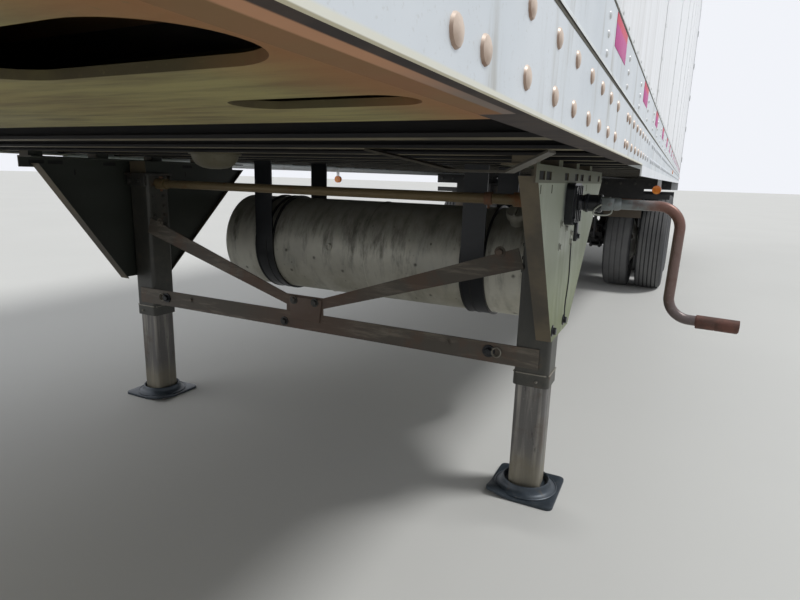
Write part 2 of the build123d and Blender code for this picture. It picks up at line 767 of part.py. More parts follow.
# Crank: clevis, bent tube and grip, hanging from the gearbox
crank_bend = crank_tube_radius * 4.2
with BuildPart() as crank:
    with BuildSketch(Plane.XZ.offset(-gearbox_outer_y - hinge_play)):
        with Locations((leg_x, shaft_z)):
            Circle(shaft_radius)
    extrude(amount=-(bearing_outer_y - gearbox_outer_y + 10))
    with BuildSketch(Plane.XZ.offset(-bearing_outer_y - hinge_play)):
        with Locations((leg_x, shaft_z)):
            Circle(shaft_collar_radius - 3)
    extrude(amount=-(crank_clevis_y - bearing_outer_y + 20))
    with BuildLine(Plane.YZ.offset(leg_x)) as crank_path:
        FilletPolyline(
            (crank_clevis_y, shaft_z),
            (crank_out_y, shaft_z - 1),
            (crank_out_y - 9, shaft_z - crank_drop + 2),
            (crank_grip_y, shaft_z - crank_drop - 4),
            radius=crank_bend,
        )
    with BuildSketch(Plane(crank_path.line @ 0, z_dir=crank_path.line % 0)):
        Circle(crank_tube_radius)
    sweep(path=crank_path.line)
    with BuildSketch(Plane(crank_path.line @ 1, z_dir=-(crank_path.line % 1))):
        Circle(crank_grip_radius)
    extrude(amount=crank_grip_length)
finish(crank.part, "crank")

# Fuel tank: a drum with dished ends across the frame
tank_dish_radius = (tank_radius ** 2 + tank_dish ** 2) / (2 * tank_dish)
tank_dish_angle = asin(tank_radius / tank_dish_radius)
dish_mid_r = tank_dish_radius * sin(tank_dish_angle / 2)
dish_mid_y = tank_length / 2 - tank_dish_radius * (1 - cos(tank_dish_angle / 2))
with BuildPart() as fuel_tank:
    with BuildSketch(Plane.YZ.offset(tank_x)):
        with BuildLine():
            Line((-tank_length / 2, tank_axis_z), (tank_length / 2, tank_axis_z))
            ThreePointArc(
                (tank_length / 2, tank_axis_z),
                (dish_mid_y, tank_axis_z + dish_mid_r),
                (tank_length / 2 - tank_dish, tank_axis_z + tank_radius),
            )
            Line(
                (tank_length / 2 - tank_dish, tank_axis_z + tank_radius),
                (-tank_length / 2 + tank_dish, tank_axis_z + tank_radius),
            )
            ThreePointArc(
                (-tank_length / 2 + tank_dish, tank_axis_z + tank_radius),
                (-dish_mid_y, tank_axis_z + dish_mid_r),
                (-tank_length / 2, tank_axis_z),
            )
        make_face()
    revolve(axis=Axis((tank_x, 0, tank_axis_z), (0, 1, 0)))
finish(fuel_tank.part, "fuel_tank")

# Tank straps: wide bands that run up to the crossmembers on both sides of the drum
with BuildPart() as tank_straps:
    for strap_y in (tank_strap_y, -tank_strap_y):
        with BuildSketch(Plane.XZ.offset(-strap_y - tank_strap_width / 2)):
            with Locations((tank_x, tank_axis_z)):
                Circle(tank_radius + tank_strap_thickness)
            with Locations((tank_x, (tank_axis_z + under_z) / 2)):
                Rectangle(2 * (tank_radius + tank_strap_thickness), under_z - tank_axis_z)
                Rectangle(2 * tank_radius + 0.6, under_z - tank_axis_z, mode=Mode.SUBTRACT)
            with Locations((tank_x, tank_axis_z)):
                Circle(tank_radius + 0.3, mode=Mode.SUBTRACT)
        extrude(amount=tank_strap_width)
finish(tank_straps.part, "tank_straps")

# Drain bowl under the crossmembers: a spun pan with sloping sides and a spout
bowl_x = first_crossmember_x - 2 * crossmember_pitch - 45
# columns: share of the radius, share of the depth
bowl_outline = ((0, 0), (1, 0), (0.9, 0.45), (0.66, 0.8), (0.3, 0.94), (0.22, 1.25), (0, 1.25))
with BuildPart() as drain_bowl:
    with BuildSketch(Plane.YZ.offset(bowl_x)):
        with BuildLine():
            Polyline(*[(bowl_y + r * bowl_radius, under_z - d * bowl_depth) for r, d in bowl_outline], close=True)
        make_face()
    revolve(axis=Axis((bowl_x, bowl_y, 0), (0, 0, 1)))
finish(drain_bowl.part, "drain_bowl")

# Bent strap: a loose plate that sags from two crossmembers ahead of the left leg
# columns: y, drop below the crossmembers
strap_line = ((1160, 0), (1075, strap_drop), (950, strap_drop), (870, 0.6 * strap_drop), (740, 0))
with BuildPart() as sag_strap:
    with BuildSketch(Plane.YZ.offset(strap_front_x)):
        with BuildLine():
            Polyline(
                *[(y, under_z - drop) for y, drop in strap_line],
                *[(y, under_z - drop - strap_plate) for y, drop in reversed(strap_line)],
                close=True,
            )
        make_face()
    extrude(amount=-strap_width)
finish(sag_strap.part, "sag_strap")

# Slider rails: the Z sections under the crossmembers that carry the bogie, with its lock holes
slider_front_x = first_axle_x + 1500
slider_rear_x = tail_x + frame_depth + 400
first_lock_hole_x = slider_front_x - 260
with BuildPart() as slider_rails:
    for side in (1, -1):
        with BuildSketch(Plane.YZ.offset(slider_rear_x)):
            with Locations((side * slider_y, under_z - slider_rail_height / 2)):
                Rectangle(8, slider_rail_height)
            with Locations((side * (slider_y + 36), under_z - 4)):
                Rectangle(80, 8)
            with Locations((side * (slider_y - 28), under_z - slider_rail_height + 4)):
                Rectangle(64, 8)
        extrude(amount=slider_front_x - slider_rear_x)
        with BuildSketch(Plane.XZ.offset(-side * (slider_y + 8))):
            for hole in range(lock_hole_count):
                with Locations((first_lock_hole_x - hole * lock_hole_pitch, under_z - lock_hole_drop)):
                    Circle(lock_hole_radius)
        extrude(amount=side * 16, mode=Mode.SUBTRACT)
finish(slider_rails.part, "slider_rails")

# Bogie frame: two box rails and four cross tubes below the slider rails
bogie_top = under_z - slider_rail_height - slider_gap
bogie_front_x = first_axle_x + bogie_front
bogie_rear_x = last_axle_x - bogie_rear
front_tube_x = bogie_front_x - cross_tube_inset
cross_tube_bottom = bogie_top - (bogie_rail_height + cross_tube_height) / 2
air_tank_x = front_tube_x - air_tank_offset
air_arm_bottom = cross_tube_bottom - air_arm_thickness
air_tank_z = air_arm_bottom - slider_gap - air_tank_radius
with BuildPart() as bogie_frame:
    for side in (1, -1):
        with BuildSketch(Plane.YZ.offset(bogie_rear_x)):
            with Locations((side * slider_y, bogie_top - bogie_rail_height / 2)):
                Rectangle(bogie_rail_width, bogie_rail_height)
        extrude(amount=bogie_front_x - bogie_rear_x)
    for tube_x in (
        front_tube_x,
        first_axle_x - axle_spacing / 2 + 160,
        first_axle_x - axle_spacing / 2 - 160,
        bogie_rear_x + cross_tube_inset,
    ):
        with BuildSketch(Plane.XZ.offset(slider_y)):
            with Locations((tube_x, bogie_top - bogie_rail_height / 2)):
                Rectangle(cross_tube_width, cross_tube_height)
        extrude(amount=-2 * slider_y)
    for arm_y in (air_tank_length / 4, -air_tank_length / 4):
        with BuildSketch(Plane.XY.offset(air_arm_bottom)):
            with Locations((front_tube_x - air_tank_offset / 2, arm_y)):
                Rectangle(air_tank_offset + air_arm_width, air_arm_width)
        extrude(amount=air_arm_thickness)
finish(bogie_frame.part, "bogie_frame")

# Air tank: a dished drum hung from the two arms
air_dish_angle = 2 * atan2(air_tank_dish, air_tank_radius)
air_dish_radius = air_tank_radius / sin(air_dish_angle)
air_mid_r = air_dish_radius * sin(air_dish_angle / 2)
air_mid_y = air_tank_length / 2 - air_dish_radius * (1 - cos(air_dish_angle / 2))
with BuildPart() as air_tank:
    with BuildSketch(Plane.YZ.offset(air_tank_x)):
        with BuildLine():
            Line((-air_tank_length / 2, air_tank_z), (air_tank_length / 2, air_tank_z))
            ThreePointArc(
                (air_tank_length / 2, air_tank_z),
                (air_mid_y, air_tank_z + air_mid_r),
                (air_tank_length / 2 - air_tank_dish, air_tank_z + air_tank_radius),
            )
            Line(
                (air_tank_length / 2 - air_tank_dish, air_tank_z + air_tank_radius),
                (-air_tank_length / 2 + air_tank_dish, air_tank_z + air_tank_radius),
            )
            ThreePointArc(
                (-air_tank_length / 2 + air_tank_dish, air_tank_z + air_tank_radius),
                (-air_mid_y, air_tank_z + air_mid_r),
                (-air_tank_length / 2, air_tank_z),
            )
        make_face()
    revolve(axis=Axis((air_tank_x, 0, air_tank_z), (0, 1, 0)))
finish(air_tank.part, "air_tank")

# Spring hangers: cheeks under the bogie rails, wear pads, rod pins, and a rocker on its pin in the middle
hanger_top = bogie_top - bogie_rail_height
middle_x = first_axle_x - axle_spacing / 2
rod_pin_z = hanger_top - hanger_depth + rod_eye_radius + 12
leaf_top_z = spring_seat_z + len(leaf_shares) * leaf_thickness
tip_z = leaf_top_z + spring_rise
rocker_z = tip_z + 110
# columns: x, length at the top, length at the bottom
hanger_table = (
    (first_axle_x + hanger_offset, 260, 110),
    (middle_x, 320, 150),
    (last_axle_x - hanger_offset, 260, 110),
)
with BuildPart() as spring_hangers:
    for side in (1, -1):
        for hanger_x, top_length, bottom_length in hanger_table:
            for cheek_y in (-spring_width / 2 - hanger_cheek, spring_width / 2):
                with BuildSketch(Plane.XZ.offset(-(side * spring_y + cheek_y))):
                    with BuildLine():
                        Polyline(
                            (hanger_x - top_length / 2, hanger_top),
                            (hanger_x + top_length / 2, hanger_top),
                            (hanger_x + bottom_length / 2, hanger_top - hanger_depth),
                            (hanger_x - bottom_length / 2, hanger_top - hanger_depth),
                            close=True,
                        )
                    make_face()
                extrude(amount=-hanger_cheek)
            with BuildSketch(Plane.XY.offset(hanger_top)):
                with Locations((hanger_x, side * spring_y)):
                    Rectangle(top_length, spring_width + 2 * hanger_cheek)
            extrude(amount=-10)
        for pad_x in (first_axle_x + spring_half_length, last_axle_x - spring_half_length):
            with BuildSketch(Plane.XY.offset(tip_z + slider_gap)):
                with Locations((pad_x, side * spring_y)):
                    Rectangle(pad_length, spring_width)
            extrude(amount=pad_height)
        with BuildSketch(Plane.XZ.offset(-(side * spring_y + spring_width / 2))):
            with BuildLine():
                Polyline(
                    (middle_x - rocker_half, tip_z + slider_gap),
                    (middle_x - rocker_half + pad_length, tip_z + slider_gap),
                    (middle_x - pad_length / 3, tip_z + pad_height),
                    (middle_x + pad_length / 3, tip_z + pad_height),
                    (middle_x + rocker_half - pad_length, tip_z + slider_gap),
                    (middle_x + rocker_half, tip_z + slider_gap),
                    (middle_x + rocker_half, tip_z + pad_height),
                    (middle_x + rocker_pin_radius, rocker_z + rocker_pin_radius),
                    (middle_x - rocker_pin_radius, rocker_z + rocker_pin_radius),
                    (middle_x - rocker_half, tip_z + pad_height),
                    close=True,
                )
            make_face()
        extrude(amount=spring_width)
        with BuildSketch(Plane.XZ.offset(-(side * spring_y + spring_width / 2 + 2 * hanger_cheek))):
            with Locations((middle_x, rocker_z)):
                Circle(rocker_pin_radius)
        extrude(amount=spring_width + 4 * hanger_cheek)
        with BuildSketch(Plane.XZ.offset(-(side * spring_y + spring_width / 2 + hanger_cheek))):
            with Locations((first_axle_x + hanger_offset, rod_pin_z), (middle_x, rod_pin_z)):
                Circle(rod_pin_radius)
        extrude(amount=spring_width + 2 * hanger_cheek)
finish(spring_hangers.part, "spring_hangers")

# Leaf springs: packs of arched leaves, each shorter than the one above it
leaf_arc_radius = (spring_half_length ** 2 + spring_rise ** 2) / (2 * spring_rise)
leaf_centre_z = leaf_top_z + leaf_arc_radius
with BuildPart() as leaf_springs:
    for side in (1, -1):
        for axle_x in (first_axle_x, last_axle_x):
            for leaf, share in enumerate(leaf_shares):
                inner = leaf_arc_radius + leaf * leaf_thickness
                outer = inner + leaf_thickness
                reach = asin(share * spring_half_length / leaf_arc_radius)
                with BuildSketch(Plane.XZ.offset(-(side * spring_y + spring_width / 2))):
                    with BuildLine():
                        ThreePointArc(
                            (axle_x - inner * sin(reach), leaf_centre_z - inner * cos(reach)),
                            (axle_x, leaf_centre_z - inner),
                            (axle_x + inner * sin(reach), leaf_centre_z - inner * cos(reach)),
                        )
                        Line(
                            (axle_x + inner * sin(reach), leaf_centre_z - inner * cos(reach)),
                            (axle_x + outer * sin(reach), leaf_centre_z - outer * cos(reach)),
                        )
                        ThreePointArc(
                            (axle_x + outer * sin(reach), leaf_centre_z - outer * cos(reach)),
                            (axle_x, leaf_centre_z - outer),
                            (axle_x - outer * sin(reach), leaf_centre_z - outer * cos(reach)),
                        )
                        Line(
                            (axle_x - outer * sin(reach), leaf_centre_z - outer * cos(reach)),
                            (axle_x - inner * sin(reach), leaf_centre_z - inner * cos(reach)),
                        )
                    make_face()
                extrude(amount=spring_width)
finish(leaf_springs.part, "leaf_springs")

# Axles: tube, spring seats with clamp plates, U bolts and radius rods, brake brackets and spindles
spindle_end_y = dual_centre_y + 120
bracket_run = hypot(chamber_front - 10, chamber_rise) - 6
u_bolt_y = spring_width / 2 + u_bolt_radius + 3
clamp_width = 2 * (u_bolt_y + u_bolt_radius + 6)
bracket_slope = degrees(atan2(chamber_rise, chamber_front - 10))
with BuildPart() as axles:
    for axle_x in (first_axle_x, last_axle_x):
        with BuildSketch(Plane.XZ.offset(dual_centre_y - 235)):
            with Locations((axle_x, axle_z)):
                Circle(axle_radius)
        extrude(amount=-2 * (dual_centre_y - 235))
        with BuildSketch(Plane.XZ.offset(spindle_end_y)):
            with Locations((axle_x, axle_z)):
                Circle(spindle_radius)
        extrude(amount=-2 * spindle_end_y)
        with BuildSketch(Plane.XY.offset(axle_z)):
            with Locations((axle_x, spring_y), (axle_x, -spring_y)):
                Rectangle(2 * u_bolt_half + 30, clamp_width)
        extrude(amount=spring_seat_z - slider_gap - axle_z)
        for plate_z in (axle_z - axle_radius - clamp_plate, leaf_top_z + 8):
            with BuildSketch(Plane.XY.offset(plate_z)):
                with Locations((axle_x, spring_y), (axle_x, -spring_y)):
                    Rectangle(2 * u_bolt_half + 30, clamp_width)
            extrude(amount=clamp_plate)
        with BuildSketch(Plane.XY.offset(axle_z - axle_radius - 2 * clamp_plate)):
            for seat_y in (spring_y, -spring_y):
                for bolt_x in (axle_x - u_bolt_half, axle_x + u_bolt_half):
                    with Locations((bolt_x, seat_y - u_bolt_y), (bolt_x, seat_y + u_bolt_y)):
                        Circle(u_bolt_radius)
        extrude(amount=leaf_top_z + 8 + 2 * clamp_plate - axle_z + axle_radius)
        rod_rear_x = axle_x + rod_rear_reach
        pin_x = first_axle_x + hanger_offset if axle_x == first_axle_x else middle_x
        for seat_y in (spring_y, -spring_y):
            with BuildSketch(Plane.XZ.offset(-(seat_y + rod_eye_half))):
                with Locations((rod_rear_x, axle_z), (pin_x, rod_pin_z)):
                    Circle(rod_eye_radius)
            extrude(amount=2 * rod_eye_half)
            with BuildSketch(Plane((rod_rear_x, seat_y, axle_z), z_dir=(pin_x - rod_rear_x, 0, rod_pin_z - axle_z))):
                Circle(rod_radius)
            extrude(amount=hypot(pin_x - rod_rear_x, rod_pin_z - axle_z))
            with BuildSketch(Plane.XZ.offset(-(seat_y + rod_eye_half))):
                with Locations((pin_x, rod_pin_z)):
                    Circle(rod_pin_radius + slider_gap)
            extrude(amount=2 * rod_eye_half, mode=Mode.SUBTRACT)
        with BuildSketch(Plane.XZ.offset(-chamber_y - 6)):
            with Locations((axle_x + (chamber_front - 10) / 2, axle_z + chamber_rise / 2)):
                Rectangle(bracket_run, 30, rotation=bracket_slope)
            with Locations((axle_x + chamber_front - 5, axle_z + chamber_rise)):
                Rectangle(10, 150)
        extrude(amount=12)
        with BuildSketch(Plane.XZ.offset(chamber_y - 6)):
            with Locations((axle_x + (chamber_front - 10) / 2, axle_z + chamber_rise / 2)):
                Rectangle(bracket_run, 30, rotation=bracket_slope)
            with Locations((axle_x + chamber_front - 5, axle_z + chamber_rise)):
                Rectangle(10, 150)
        extrude(amount=12)
finish(axles.part, "axles")

# Wheels: each end of an axle carries a pair of many-sided tyres on one hub
hub_bore = spindle_radius + hub_play
# columns: radius, distance from the tyre's middle plane
tyre_half = tyre_width / 2
tyre_profile = (
    (rim_radius, -bead_half),
    (rim_radius + bulge_rise, -tyre_half),
    (tyre_radius - shoulder_drop, -tyre_half + 7),
    (tyre_radius, -tread_half),
    (tyre_radius, tread_half),
    (tyre_radius - shoulder_drop, tyre_half - 7),
    (rim_radius + bulge_rise, tyre_half),
    (rim_radius, bead_half),
)
tyre_turn = 90 + 180 / tyre_sides      # rests on a flat of the polygon
rim_profile = (
    (disc_bore_radius, 0),
    (disc_flat_radius, 0),
    (disc_bend_radius, disc_bend_y),
    (rim_radius - rim_wall, dual_spacing / 2 - rim_flange_half + 4),
    (rim_radius + rim_flange, dual_spacing / 2 - rim_flange_half),
    (rim_radius, dual_spacing / 2 - bead_half),
    (rim_radius, dual_spacing / 2 + bead_half),
    (rim_radius + rim_flange, dual_spacing / 2 + rim_flange_half),
    (rim_radius - rim_wall, dual_spacing / 2 + rim_flange_half - 4),
    (rim_radius - rim_wall - 10, dual_spacing / 2 + disc_bend_y),
    (rim_radius - rim_wall - 10, disc_bend_y + disc_thickness + 9),
    (disc_flat_radius + 10, disc_thickness),
    (disc_bore_radius, disc_thickness),
)
for axle_x, row_name in ((first_axle_x, "front"), (last_axle_x, "rear")):
    for side, side_name in ((1, "left"), (-1, "right")):
        wheel_axis = Axis((axle_x, 0, axle_z), (0, 1, 0))
        centre_y = side * dual_centre_y
        with BuildPart() as tyre_pair:
            for tyre_y in (centre_y - dual_spacing / 2, centre_y + dual_spacing / 2):
                for radius, y in tyre_profile:
                    with BuildSketch(Plane.XZ.offset(-tyre_y - y)):
                        with Locations((axle_x, axle_z)):
                            RegularPolygon(radius, tyre_sides, major_radius=False, rotation=tyre_turn)
                loft(ruled=True)
                with BuildSketch(Plane.XZ.offset(-tyre_y + bead_half)):
                    with Locations((axle_x, axle_z)):
                        RegularPolygon(rim_radius, tyre_sides, major_radius=False, rotation=tyre_turn)
                extrude(amount=-2 * bead_half, mode=Mode.SUBTRACT)
        finish(tyre_pair.part, "tyres_" + row_name + "_" + side_name)

        with BuildPart() as wheel_pair:
            with BuildSketch(Plane.YZ.offset(axle_x)):
                for flip in (1, -1):
                    with BuildLine():
                        Polyline(*[(centre_y + flip * y, axle_z + r) for r, y in rim_profile], close=True)
                    make_face()
                with Locations((centre_y - side * hub_offset, axle_z + (hub_bore + hub_radius) / 2)):
                    Rectangle(hub_length, hub_radius - hub_bore)
            revolve(axis=wheel_axis)
            with BuildSketch(Plane.YZ.offset(axle_x)):
                with Locations((centre_y - side * drum_offset, axle_z + drum_radius - drum_wall / 2)):
                    Rectangle(drum_length, drum_wall)
                with Locations((centre_y - side * drum_web_offset, axle_z + (disc_bore_radius + drum_radius) / 2)):
                    Rectangle(drum_web, drum_radius - disc_bore_radius)
            revolve(axis=wheel_axis)
        finish(wheel_pair.part, "wheels_" + row_name + "_" + side_name)

# Brake chambers ahead of each axle: two pots joined by a clamp band
# columns: distance from the bracket, length, radius
chamber_table = (
    (0, chamber_length, chamber_radius - chamber_band),
    (chamber_length * 0.3, 18, chamber_radius),
    (chamber_length * 0.7, 14, chamber_radius - chamber_band / 2),
    (chamber_length, 12, chamber_radius * 0.5),
)
with BuildPart() as brake_chambers:
    for axle_x in (first_axle_x, last_axle_x):
        for side in (1, -1):
            for start, length, radius in chamber_table:
                with BuildSketch(Plane.YZ.offset(axle_x + chamber_front + start)):
                    with Locations((side * chamber_y, axle_z + chamber_rise)):
                        Circle(radius)
                extrude(amount=length)
finish(brake_chambers.part, "brake_chambers")

# Flap bars: arms from the bogie rails that carry the guards and flaps
guard_x = first_axle_x + tyre_radius + 90
flap_x = last_axle_x - tyre_radius - 130
bar_inner_y = slider_y + bogie_rail_width / 2
bar_outer_y = dual_centre_y + flap_width / 2
bar_z = bogie_top - bogie_rail_height / 2
with BuildPart() as flap_bars:
    for side in (1, -1):
        for bar_x in (guard_x - flap_bar / 2, flap_x + flap_bar / 2 + flap_thickness):
            with BuildSketch(Plane.XZ.offset(-side * bar_inner_y)):
                with Locations((bar_x, bar_z)):
                    Rectangle(flap_bar, flap_bar)
            extrude(amount=-side * (bar_outer_y - bar_inner_y))
finish(flap_bars.part, "flap_bars")

# Flaps: stiff guards ahead of the first wheels and hanging flaps behind the last, with weighted edges
guard_inner_y = bar_inner_y + guard_inset
guard_reach = half_width - rail_skirt_thickness - slide_clearance - guard_inner_y
with BuildPart() as mud_flaps:
    for side in (1, -1):
        with BuildSketch(Plane.YZ.offset(guard_x)):
            with Locations((side * (guard_inner_y + guard_width / 2), flap_top - guard_height / 2)):
                Rectangle(guard_width, guard_height)
            with Locations((side * (guard_inner_y + guard_reach / 2), flap_top - guard_strip / 2)):
                Rectangle(guard_reach, guard_strip)
        extrude(amount=flap_thickness)
        with BuildSketch(Plane.YZ.offset(guard_x + flap_thickness)):
            with Locations((side * (guard_inner_y + guard_width / 2), flap_top - guard_height + flap_edge / 2)):
                Rectangle(guard_width, flap_edge)
        extrude(amount=flap_edge / 2)
        with BuildSketch(Plane.YZ.offset(flap_x)):
            with Locations((side * dual_centre_y, bar_z + flap_bar / 2 - flap_height / 2)):
                Rectangle(flap_width, flap_height)
        extrude(amount=flap_thickness)
        with BuildSketch(Plane.YZ.offset(flap_x + flap_thickness)):
            with Locations((side * dual_centre_y, bar_z + flap_bar / 2 - flap_height + flap_edge / 2)):
                Rectangle(flap_width, flap_edge)
        extrude(amount=flap_edge / 3)
finish(mud_flaps.part, "mud_flaps")

# Rear guard below the sill
guard_bar = 100.0
guard_bottom = -700.0
guard_half = half_width - 115
guard_post_y = 560.0
guard_post_width = 90.0
guard_bar_x = tail_x + 60
with BuildPart() as rear_guard:
    with BuildSketch(Plane.XZ.offset(-guard_half)):
        with Locations((guard_bar_x, guard_bottom + guard_bar / 2)):
            Rectangle(guard_bar, guard_bar)
    extrude(amount=2 * guard_half)
    for post_y in (guard_post_y, -guard_post_y):
        with BuildSketch(Plane.XY.offset(guard_bottom + guard_bar)):
            with Locations((guard_bar_x, post_y)):
                Rectangle(guard_post_width, guard_bar)
        extrude(amount=sill_bottom - guard_bottom - guard_bar)
finish(rear_guard.part, "rear_guard")

# Cooling unit on the nose: a housing with rounded corners and an opening for the grille
unit_bottom = 720.0
unit_top = 2700.0
unit_half_width = 1010.0
unit_depth = 460.0
unit_front_x = nose_x + unit_depth
grille_half_width = 830.0
grille_height = 430.0
grille_depth = 90.0
grille_top = unit_top - 250
grille_middle_z = grille_top - grille_height / 2
with BuildPart() as cooling_unit:
    with BuildSketch(Plane.XZ.offset(-unit_half_width)):
        with BuildLine():
            Polyline(
                (nose_x, unit_bottom),
                (unit_front_x - 120, unit_bottom),
                (unit_front_x, unit_bottom + 160),
                (unit_front_x, unit_top - 200),
                (unit_front_x - 140, unit_top),
                (nose_x, unit_top),
                close=True,
            )
        make_face()
    extrude(amount=2 * unit_half_width)
    fillet(cooling_unit.edges().group_by(Axis.X)[-1].filter_by(Axis.Z), radius=60)
    with BuildSketch(Plane.YZ.offset(unit_front_x)):
        with Locations((0, grille_middle_z)):
            Rectangle(2 * grille_half_width, grille_height)
    extrude(amount=-grille_depth, mode=Mode.SUBTRACT)
finish(cooling_unit.part, "cooling_unit")

# Grille of the cooling unit: slanted slats between upright bars
slat_count = 11
slat_depth = 70.0
slat_thickness = 5.0
slat_tilt = 32.0
bar_count = 5
grille_bar = 14.0
slat_pitch = (grille_height - 50) / (slat_count - 1)
bar_pitch = (2 * grille_half_width - grille_bar) / (bar_count - 1)
with BuildPart() as unit_grille:
    with BuildSketch(Plane.XZ.offset(-grille_half_width)):
        for slat in range(slat_count):
            with Locations((unit_front_x - grille_depth / 2, grille_top - 25 - slat * slat_pitch)):
                Rectangle(slat_depth, slat_thickness, rotation=slat_tilt)
    extrude(amount=2 * grille_half_width)
    with BuildSketch(Plane.YZ.offset(unit_front_x - grille_depth)):
        for bar in range(bar_count):
            with Locations((-grille_half_width + grille_bar / 2 + bar * bar_pitch, grille_middle_z)):
                Rectangle(grille_bar, grille_height)
    extrude(amount=grille_depth * 0.7)
finish(unit_grille.part, "unit_grille")

# Service doors of the cooling unit, with their latches, and a fan ring between them and the grille
unit_door_gap = 14.0
unit_door_bottom = unit_bottom + 200
unit_door_top = grille_top - grille_height - 70
unit_door_half = (unit_half_width - 70 - unit_door_gap / 2) / 2
unit_door_thickness = 16.0
latch_length = 110.0
latch_width = 26.0
with BuildPart() as unit_doors:
    for side in (1, -1):
        door_mid_y = side * (unit_door_gap / 2 + unit_door_half)
        door_mid_z = (unit_door_bottom + unit_door_top) / 2
        with BuildSketch(Plane.YZ.offset(unit_front_x)):
            with Locations((door_mid_y, door_mid_z)):
                RectangleRounded(2 * unit_door_half, unit_door_top - unit_door_bottom, 50)
        extrude(amount=unit_door_thickness)
        with BuildSketch(Plane.YZ.offset(unit_front_x + unit_door_thickness)):
            with Locations((door_mid_y, door_mid_z)):
                RectangleRounded(2 * unit_door_half - 160, unit_door_top - unit_door_bottom - 160, 40)
        extrude(amount=-unit_door_thickness / 2, mode=Mode.SUBTRACT)
        with BuildSketch(Plane.YZ.offset(unit_front_x + unit_door_thickness)):
            with Locations((side * (unit_door_gap / 2 + 40), door_mid_z + 260),
                           (side * (unit_door_gap / 2 + 40), door_mid_z - 260)):
                RectangleRounded(latch_width, latch_length, 8)
        extrude(amount=unit_door_thickness / 2)
finish(unit_doors.part, "unit_doors")

# Nose couplings: a plate with two air couplings and the electric socket between them
coupling_plate_width = 460.0
coupling_plate_height = 150.0
coupling_plate_thickness = 8.0
coupling_z = 420.0
coupling_spread = 160.0
coupling_angle = 25.0
socket_radius = 38.0
coupling_face_x = nose_x + coupling_plate_thickness
with BuildPart() as nose_couplings:
    with BuildSketch(Plane.YZ.offset(nose_x)):
        with Locations((0, coupling_z)):
            RectangleRounded(coupling_plate_width, coupling_plate_height, 12)
    extrude(amount=coupling_plate_thickness)
    with BuildSketch(Plane.YZ.offset(coupling_face_x)):
        with Locations((0, coupling_z)):
            Circle(socket_radius)
        with Locations((coupling_spread, coupling_z), (-coupling_spread, coupling_z)):
            Circle(17)
    extrude(amount=52)
    with BuildSketch(Plane.YZ.offset(coupling_face_x + 52)):
        with Locations((0, coupling_z + 6)):
            RectangleRounded(2 * socket_radius + 8, 2 * socket_radius + 20, 14)
        for hand_y in (coupling_spread, -coupling_spread):
            with Locations((hand_y, coupling_z)):
                Circle(36)
            with Locations((hand_y + 34, coupling_z - 16)):
                Rectangle(60, 30, rotation=-coupling_angle)
    extrude(amount=20)
finish(nose_couplings.part, "nose_couplings")

# Lamps: red ones in the rear sill, header and rails, amber ones along the sides
lamp_z = (sill_bottom + floor_top) / 2 - 40
marker_length = 70.0
marker_height = 30.0
marker_depth = 6.0
marker_z = (rail_bottom + rail_top) / 2
red_marker_x = tail_x + 160
amber_marker_places = (nose_inner_x - 160, leg_x - 3600)
with BuildPart() as lamps_red:
    for lamp_y in (-1130, -1000, 1000, 1130):
        with BuildSketch(Plane.YZ.offset(tail_x)):
            with Locations((lamp_y, lamp_z)):
                Circle(50)
        extrude(amount=-14)
    for lamp_y in (-1150, -150, 0, 150, 1150):
        with BuildSketch(Plane.YZ.offset(tail_x)):
            with Locations((lamp_y, roof_edge_z - 60)):
                SlotOverall(marker_length, marker_height)
        extrude(amount=-10)
    for side in (1, -1):
        with BuildSketch(Plane.XZ.offset(-side * half_width)):
            with Locations((red_marker_x, marker_z)):
                SlotOverall(marker_length, marker_height)
        extrude(amount=-side * marker_depth)
finish(lamps_red.part, "lamps_red")

with BuildPart() as lamps_amber:
    for side in (1, -1):
        with BuildSketch(Plane.YZ.offset(side_lamp_x)):
            with Locations((side * side_lamp_y, side_lamp_z)):
                Circle(side_lamp_radius)
        extrude(amount=side_lamp_depth)
        with BuildSketch(Plane.XZ.offset(-side * half_width)):
            with Locations(*[(x, marker_z) for x in amber_marker_places]):
                SlotOverall(marker_length, marker_height)
        extrude(amount=-side * marker_depth)
    with BuildSketch(Plane.YZ.offset(nose_x)):
        with Locations((-1150, roof_edge_z - 60), (1150, roof_edge_z - 60)):
            SlotOverall(marker_length, marker_height)
    extrude(amount=marker_depth)
finish(lamps_amber.part, "lamps_amber")
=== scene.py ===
import json
import math

import bpy
from mathutils import Matrix, Vector


